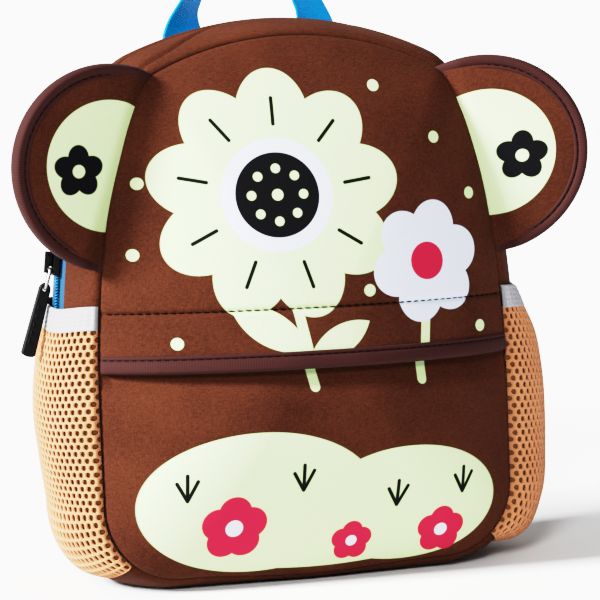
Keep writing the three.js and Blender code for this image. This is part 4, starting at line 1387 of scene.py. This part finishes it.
def add_elastic(pocket):
    """The elastic at the pocket's mouth, with its rows of rubber cord and a slight ripple."""
    across, along = np.meshgrid(spaced(pocket.width, 0.7), spaced(ELASTIC, 0.3, start=0.8, end=0.8))
    u = pocket.depth(across)
    q = pocket.mouth + through(MOUTH_DIPS, u) + ELASTIC * along
    waves = np.sin(2 * math.pi * across * pocket.width / RIPPLE_LENGTH)
    ripple = RIPPLE_HEIGHT * waves * np.sin(math.pi * along)
    cords = CORD_HEIGHT * np.abs(np.sin(math.pi * along * CORD_ROWS))
    fall = rolled(np.minimum(along, 1 - along) * ELASTIC, ELASTIC_ROLL)
    stand = MOUTH_GAP_TOP + (pocket.stand[0][1] - MOUTH_GAP_TOP) * along
    gap = stand * swell(u) - pocket.tuck_in(across)
    lift = MESH_CLEAR + ELASTIC_THICK + ELASTIC_CLEAR + gap + ripple
    outer = wall_lifted(pocket.side * q, DEPTH * u, lift + cords - fall)
    inner = wall_lifted(pocket.side * q, DEPTH * u, lift - ELASTIC_THICK + ELASTIC_BACK_ROLL * fall)
    add_shell(f"elastic_{pocket.name}", outer, inner, [ELASTIC_CLOTH],
              node=f"pocket_elastic_{pocket.name}", slot="elastic")


def add_side_pocket(name, side):
    pocket = Pocket(name, side)
    add_mesh(pocket)
    add_elastic(pocket)


# Edge of one mesh cell, in shares of the cell, and the places on it that the right and left half take
CELL = np.array([
    (-0.5, -0.5), (-0.25, -0.5), (0, -0.5), (0.25, -0.5), (0.5, -0.5), (0.5, 0),
    (0.5, 0.5), (0.25, 0.5), (0, 0.5), (-0.25, 0.5), (-0.5, 0.5), (-0.5, 0),
])
RIGHT_HALF = [2, 3, 4, 5, 6, 7, 8]
LEFT_HALF = [8, 9, 10, 11, 0, 1, 2]
# Rings from a cell's edge into its hole and back out below: share towards the hole, and lift
CELL_RINGS = [(0, 0), (0.5, 0.08), (0.9, -0.2), (1, -0.7), (0.9, -1.25), (0, -1.6)]


def cell_rings():
    angle = np.arctan2(CELL[:, 1] * HOLE_ALONG, CELL[:, 0] * HOLE_ACROSS)
    hole = np.stack([np.cos(angle) / HOLE_ACROSS, np.sin(angle) / HOLE_ALONG], -1) * HOLE_RADIUS
    rings = [np.insert(CELL + (hole - CELL) * towards, 2, lift, axis=1) for towards, lift in CELL_RINGS]
    return np.array(rings)


def half_cell(rings):
    """Points and faces of half a cell, with its cut ends closed."""
    around = rings.shape[1]
    starts = [ring * around for ring in range(len(rings))]
    ends = [start + around - 1 for start in reversed(starts)]
    return rings.reshape(-1, 3), [*grid_faces(len(rings), around).tolist(), starts, ends]


def mesh_cells(columns, rows):
    """A sheet of staggered round holes: shares across and along, lifts, and faces."""
    rings = cell_rings()
    whole = rings.reshape(-1, 3), grid_faces(len(rings), len(CELL), ring=True).tolist()
    right, left = (half_cell(rings[:, half]) for half in (RIGHT_HALF, LEFT_HALF))

    points, faces = [], []
    made = 0
    for row in range(rows):
        odd = row % 2
        cells = [(column + 0.5 + 0.5 * odd, *whole) for column in range(columns - odd)]
        if odd:
            cells += [(0, *right), (columns, *left)]
        for middle, cell, cell_faces in cells:
            points.append(cell + [middle, row + 0.5, 0])
            faces += shifted(cell_faces, made)
            made += len(cell)
    points, number = np.unique(np.concatenate(points).round(4), axis=0, return_inverse=True)
    number = number.ravel()
    faces = [[int(number[k]) for k in face] for face in faces]
    faces += rim_faces(points, faces)
    return points[:, :2] / [columns, rows], points[:, 2], faces


def rim_faces(points, faces):
    """Faces that close a sheet's outer edge, from its upper side to its lower side."""
    top, low = CELL_RINGS[0][1], CELL_RINGS[-1][1]
    below = {(x, z): k for k, (x, z, lift) in enumerate(points) if lift == low}
    used = {(a, b) for face in faces for a, b in zip(face, face[1:] + face[:1])}
    rim = [(a, b) for a, b in used if (b, a) not in used and points[a, 2] == top and points[b, 2] == top]
    return [[b, a, below[tuple(points[a, :2])], below[tuple(points[b, :2])]] for a, b in sorted(rim)]


# Slider, ring and pull tab

def bevelled_copy(name, node, finish, body="bag"):
    """The node's shape with rounded edges, as a piece of its own."""
    piece = bpy.data.objects.new(name, frame["nodes"][node].data.copy())
    bpy.context.scene.collection.objects.link(piece)
    bevel = piece.modifiers.new("bevel", "BEVEL")
    bevel.width = BEVELS[node] * MM
    bevel.segments = 3
    bevel.limit_method = "ANGLE"
    bevel.angle_limit = BEVEL_ANGLE
    bevel.harden_normals = False
    piece.data.materials.clear()
    piece.data.materials.append(finish)
    piece.data.polygons.foreach_set("use_smooth", np.ones(len(piece.data.polygons), bool))
    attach(piece, body)
    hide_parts(node)
    return piece


def pull_frame():
    """Hinge of the pull, and the turn of its own frame, in which it hangs down and leans out."""
    joint = next(joint for joint in frame["record"]["behaviour"]["joints"] if joint["child"] == "zip_pull")
    c, s = math.cos(PULL_LEAN), math.sin(PULL_LEAN)
    return np.array(joint["pos_m"]) / MM, np.array([[c, 0, s], [0, 1, 0], [-s, 0, c]])


def pull_place(points):
    hinge, lean = pull_frame()
    return points @ lean.T + hinge


def add_slider_bridge():
    """The slider's bridge, filled round the hole in which the ring turns."""
    hinge, _ = pull_frame()
    places = np.array([corner.co for corner in frame["nodes"]["zip_slider"].data.vertices]) / MM - hinge
    places = places[np.abs(places[:, 1]) < 2 * BRIDGE_HALF][:, [0, 2]]
    turn = np.linspace(0, 2 * math.pi, BRIDGE_SIDES, endpoint=False)
    direction = np.stack([np.cos(turn), np.sin(turn)], -1)
    facing = direction @ direction.T
    support = (places @ direction.T).max(0)
    span = np.where(facing > BRIDGE_FACING, support / np.maximum(facing, BRIDGE_FACING), np.inf)
    reach = span.min(1) - BRIDGE_INSET
    rings = []
    for radius, y in ((reach, -1), (BRIDGE_HOLE, -1), (BRIDGE_HOLE, 1), (reach, 1), (reach, -1)):
        flat = direction * np.reshape(radius, (-1, 1))
        rings.append(np.insert(flat, 1, y * BRIDGE_HALF, axis=1) + hinge)
    points = np.concatenate(rings[:-1])
    faces = grid_faces(len(rings), len(turn), ring=True) % len(points)
    add_piece("slider_bridge", points, turned_out(points, faces), [PLASTIC], slot="black_plastic")


def add_pull_ring():
    """A ring of wire with four round corners."""
    half, reach = RING_HALF - RING_CORNER, RING_LENGTH - RING_CORNER
    corners = [(half, -RING_CORNER), (-half, -RING_CORNER), (-half, -reach), (half, -reach)]
    line, wide = [], []
    for quarter, (y, z) in enumerate(corners):
        for share in np.linspace(0, 1, RING_STEPS):
            angle = (quarter + share) * math.pi / 2
            direction = np.array([0, math.cos(angle), math.sin(angle)])
            line.append(np.array([0, y, z]) + RING_CORNER * direction)
            wide.append(direction)
    high = np.tile([RING_WIRE, 0, 0], (len(line), 1))
    points, faces = tube_mesh(np.array(line), np.array(wide) * RING_WIRE, high, RING_SIDES, closed=True)
    add_piece("pull_wire", pull_place(points), faces, [WIRE], body="zip_pull", node="pull_ring", slot="steel")


def add_pull_tab():
    """A rubber tab, waisted in the middle and blunt at its end, with raised dashes on both faces."""
    piece = bevelled_copy("pull_tab_rubber", "pull_tab", RUBBER, body="zip_pull")
    places = np.empty(3 * len(piece.data.vertices))
    piece.data.vertices.foreach_get("co", places)
    hinge, lean = pull_frame()
    local = (places.reshape(-1, 3) / MM - hinge) @ lean
    drop = -local[:, 2]
    local[:, 0] *= eased(TAB_TAPER, drop)
    local[:, 2] += (1 - TAB_BLUNT) * np.maximum(0, drop - TAB_BLUNT_FROM)
    piece.data.vertices.foreach_set("co", (pull_place(local) * MM).ravel())

    for name, face in (("front", -1), ("back", 1)):
        ends = np.array([(x, face * TAB_FACE, -drop) for x, drop in TAB_DASHES])
        line = even_line(pull_place(ends), 1.0)
        normals = np.tile([0.0, face, 0.0], (len(line), 1))
        add_stitches(f"pull_dashes_{name}", line, normals, RUBBER, pitch=TAB_DASH_PITCH, thick=1.3,
                     slot="black_rubber", body="zip_pull")


# Handle and straps

def catmull_rom(points, count=60):
    """A smooth curve through points, eased by the root of their distances."""
    knots = np.array([2 * points[0] - points[1], *points, 2 * points[-1] - points[-2]])
    curve = []
    t = np.linspace(0, 1, count, endpoint=False)[:, None]
    for k in range(1, len(knots) - 2):
        p = knots[k - 1 : k + 3]
        d = np.sqrt(np.linalg.norm(np.diff(p, axis=0), axis=1))
        m1 = d[1] * ((p[1] - p[0]) / d[0] - (p[2] - p[0]) / (d[0] + d[1]) + (p[2] - p[1]) / d[1])
        m2 = d[1] * ((p[2] - p[1]) / d[1] - (p[3] - p[1]) / (d[1] + d[2]) + (p[3] - p[2]) / d[2])
        rise = p[1] + m1 * t + (3 * (p[2] - p[1]) - 2 * m1 - m2) * t**2
        curve.append(rise + (2 * (p[1] - p[2]) + m1 + m2) * t**3)
    return np.concatenate([*curve, points[-1:]])


def strip_section(half, thick, count):
    """Places across a strip of webbing and its half thickness there, with round selvedges."""
    across = np.linspace(-1, 1, count) * half
    return across, thick / 2 - rolled(half - np.abs(across), thick / 2)


def strip_frame(line, wide):
    """Directions across a strip and out of its face, square to its line."""
    along = unit(np.gradient(line, axis=0))
    wide = unit(wide - along * (wide * along).sum(-1, keepdims=True))
    return wide, np.cross(wide, along)


def add_band(name, middle, out, height, finish, **more):
    """A sheet that stands a height to either side of its middle."""
    rise = out[:, None] * height[..., None]
    return add_shell(name, middle + rise, middle - rise, [finish], **more)


def arch_drop(x):
    """How far the arch's seam has fallen from its top at a distance from the middle."""
    return ARCH_RADIUS - np.sqrt(ARCH_RADIUS**2 - np.square(x))


def add_handle():
    drop = arch_drop(HANDLE_X)
    right = np.array([HANDLE_X, BACK_Y + HANDLE_CLEAR, SEAM_TOP - drop + HANDLE_CLEAR])
    left = right * [-1, 1, 1]
    lift = np.array([0, 0, HANDLE_RISE * 4 / 3])
    line = even_line(bezier(left, left + lift, right + lift, right, 600), 1.2)
    share = np.linspace(0, 1, len(line))
    turn = np.radians(eased(HANDLE_TURN, share))
    wide, out = strip_frame(line, np.stack([np.cos(turn), np.sin(turn), 0 * turn], -1))
    across, height = strip_section(HANDLE_WIDTH / 2, HANDLE_THICK, 31)
    middle = line[:, None] + wide[:, None] * across[:, None]
    foot = np.minimum(share, 1 - share)[:, None]
    seated = smoothstep(HANDLE_FOOT - foot, 0, HANDLE_FOOT)
    middle[..., 2] -= (arch_drop(middle[..., 0]) - drop) * seated
    middle[..., 2] -= HANDLE_SINK * smoothstep(HANDLE_SINK_SHARE - foot, 0, HANDLE_SINK_SHARE)
    add_band("handle_webbing", middle, out, height, WEBBING, node="grab_handle", slot="webbing")


def strap_line(side):
    rows = np.array([(side * x, float(back_y(x, z)) + off, z) for x, z, off in STRAP_PATH])
    return even_line(catmull_rom(rows), 1.0)


def pad_height(half, across, ends):
    """Half thickness of a shoulder pad with soft edges, a sewn channel and thinner ends."""
    edge = half[:, None] * (1 - np.abs(across))
    crown = PAD_HALF_THICK * (1 - np.maximum(0, 1 - edge / PAD_SOFT_EDGE) ** PAD_EDGE_POWER) ** 0.5
    channel = CHANNEL_DEPTH * np.exp(-(((edge - CHANNEL_INSET) / CHANNEL_WIDTH) ** 2))
    taper = PAD_END_THICK + (1 - PAD_END_THICK) * smoothstep(ends, 0, PAD_END_RUN)
    return np.maximum(PAD_LEAST, (crown - channel) * taper)


def add_strap(name, side):
    line = strap_line(side)
    run = run_of(line)
    pad_end = PAD_SHARE * run[-1]
    wide, out = strip_frame(line, np.array([1.0, 0, 0]))

    on_pad = run <= pad_end
    share = run[on_pad] / pad_end
    half = eased(PAD_HALF_WIDTH, share)
    across = np.sin(np.linspace(-1, 1, 45) * math.pi / 2)
    height = pad_height(half, across, np.minimum(share, 1 - share)[:, None] * pad_end)
    middle = line[on_pad][:, None] + wide[on_pad][:, None] * (half[:, None] * across)[..., None]
    pad = add_band(f"pad_{name}", middle, out[on_pad], height, NEOPRENE_CLOTH,
                   node=f"shoulder_pad_{name}", slot="neoprene")

    bevelled_copy(f"adjuster_{name}", f"strap_adjuster_{name}", PLASTIC)

    on_web = run >= pad_end + ADJUSTER_LENGTH + 2 * GAP
    across, height = strip_section(WEB_HALF, WEB_THICK, 21)
    middle = line[on_web][:, None] + wide[on_web][:, None] * across[:, None]
    add_band(f"web_{name}", middle, out[on_web], height, WEBBING,
             node=f"strap_webbing_{name}", slot="webbing")


# Stage

def add_camera():
    cy, sy = math.cos(CAMERA_YAW), math.sin(CAMERA_YAW)
    cp, sp = math.cos(CAMERA_PITCH), math.sin(CAMERA_PITCH)
    ahead = np.array([sy * cp, cy * cp, sp])
    right = np.array([cy, -sy, 0])
    up = np.cross(right, ahead)
    cr, sr = math.cos(CAMERA_ROLL), math.sin(CAMERA_ROLL)
    axes = np.stack([cr * right + sr * up, -sr * right + cr * up, -ahead], 1)
    data = bpy.data.cameras.new("camera")
    data.lens = CAMERA_LENS
    data.sensor_width = CAMERA_SENSOR
    data.clip_start = CAMERA_NEAR
    data.clip_end = CAMERA_FAR
    camera = bpy.data.objects.new("camera", data)
    camera.matrix_world = Matrix.Translation([c * MM for c in CAMERA_AT]) @ Matrix(axes.tolist()).to_4x4()
    bpy.context.scene.collection.objects.link(camera)
    bpy.context.scene.camera = camera


def add_lamp(name, towards, power, width):
    data = bpy.data.lights.new(name, "SUN")
    data.energy = power
    data.angle = width
    lamp = bpy.data.objects.new(name, data)
    back = unit(np.array(towards))
    side = unit(np.cross([0, 0, 1.0], back))
    axes = np.stack([side, np.cross(back, side), back], 1)
    lamp.matrix_world = Matrix(axes.tolist()).to_4x4()
    bpy.context.scene.collection.objects.link(lamp)


def add_world():
    """A dim sky that shows as a white backdrop."""
    world = bpy.data.worlds.new("studio")
    world.use_nodes = True
    nodes = world.node_tree.nodes
    links = world.node_tree.links
    sky = nodes["Background"]
    sky.inputs["Color"].default_value = (1, 1, 1, 1)
    ray = nodes.new("ShaderNodeLightPath")
    level = nodes.new("ShaderNodeMapRange")
    level.inputs["To Min"].default_value = SKY_LIGHT
    level.inputs["To Max"].default_value = BACKDROP
    links.new(ray.outputs["Is Camera Ray"], level.inputs["Value"])
    links.new(level.outputs[0], sky.inputs["Strength"])
    bpy.context.scene.world = world


def add_floor():
    """A wide pale floor that shows nearly white."""
    mesh = bpy.data.meshes.new("floor")
    corners = [(-1, -1), (1, -1), (1, 1), (-1, 1)]
    places = [(x * FLOOR_REACH, y * FLOOR_REACH, FLOOR_LEVEL) for x, y in corners]
    mesh.from_pydata(places, [], [(0, 1, 2, 3)])
    finish = Finish("floor", {"Roughness": 0.95, "Specular IOR Level": 0.0})
    ray = finish.tree.nodes.new("ShaderNodeLightPath")
    seen = Field(finish.tree, ray.outputs["Is Camera Ray"])
    colour = finish.mixed(seen, (FLOOR_BOUNCE,) * 3, (FLOOR_SEEN,) * 3)
    mesh.materials.append(finish.made(colour))
    floor = bpy.data.objects.new("floor", mesh)
    bpy.context.scene.collection.objects.link(floor)


def set_tones():
    """A photograph's tones: deep shadows and soft highlights."""
    view = bpy.context.scene.view_settings
    view.view_transform = "Standard"
    view.look = "None"
    view.use_curve_mapping = True
    curve = view.curve_mapping.curves[3]
    curve.points[0].location = TONES[0]
    curve.points[-1].location = TONES[-1]
    for light, tone in TONES[1:-1]:
        curve.points.new(light, tone)
    view.curve_mapping.update()


add_camera()
for lamp_name, lamp_row in LAMPS.items():
    add_lamp(lamp_name, *lamp_row)
add_world()
add_floor()
set_tones()
add_upper_panel()
add_flap()
add_flap_tape()
add_pocket_panel()
add_back_panel()
add_side_walls()
add_zip_tape()
add_zip_coils()
for side_name, side_sign in SIDES.items():
    add_ear(side_name, side_sign)
    add_side_pocket(side_name, side_sign)
    add_strap(side_name, side_sign)
bevelled_copy("slider", "zip_slider", PLASTIC)
add_slider_bridge()
add_pull_ring()
add_pull_tab()
add_handle()
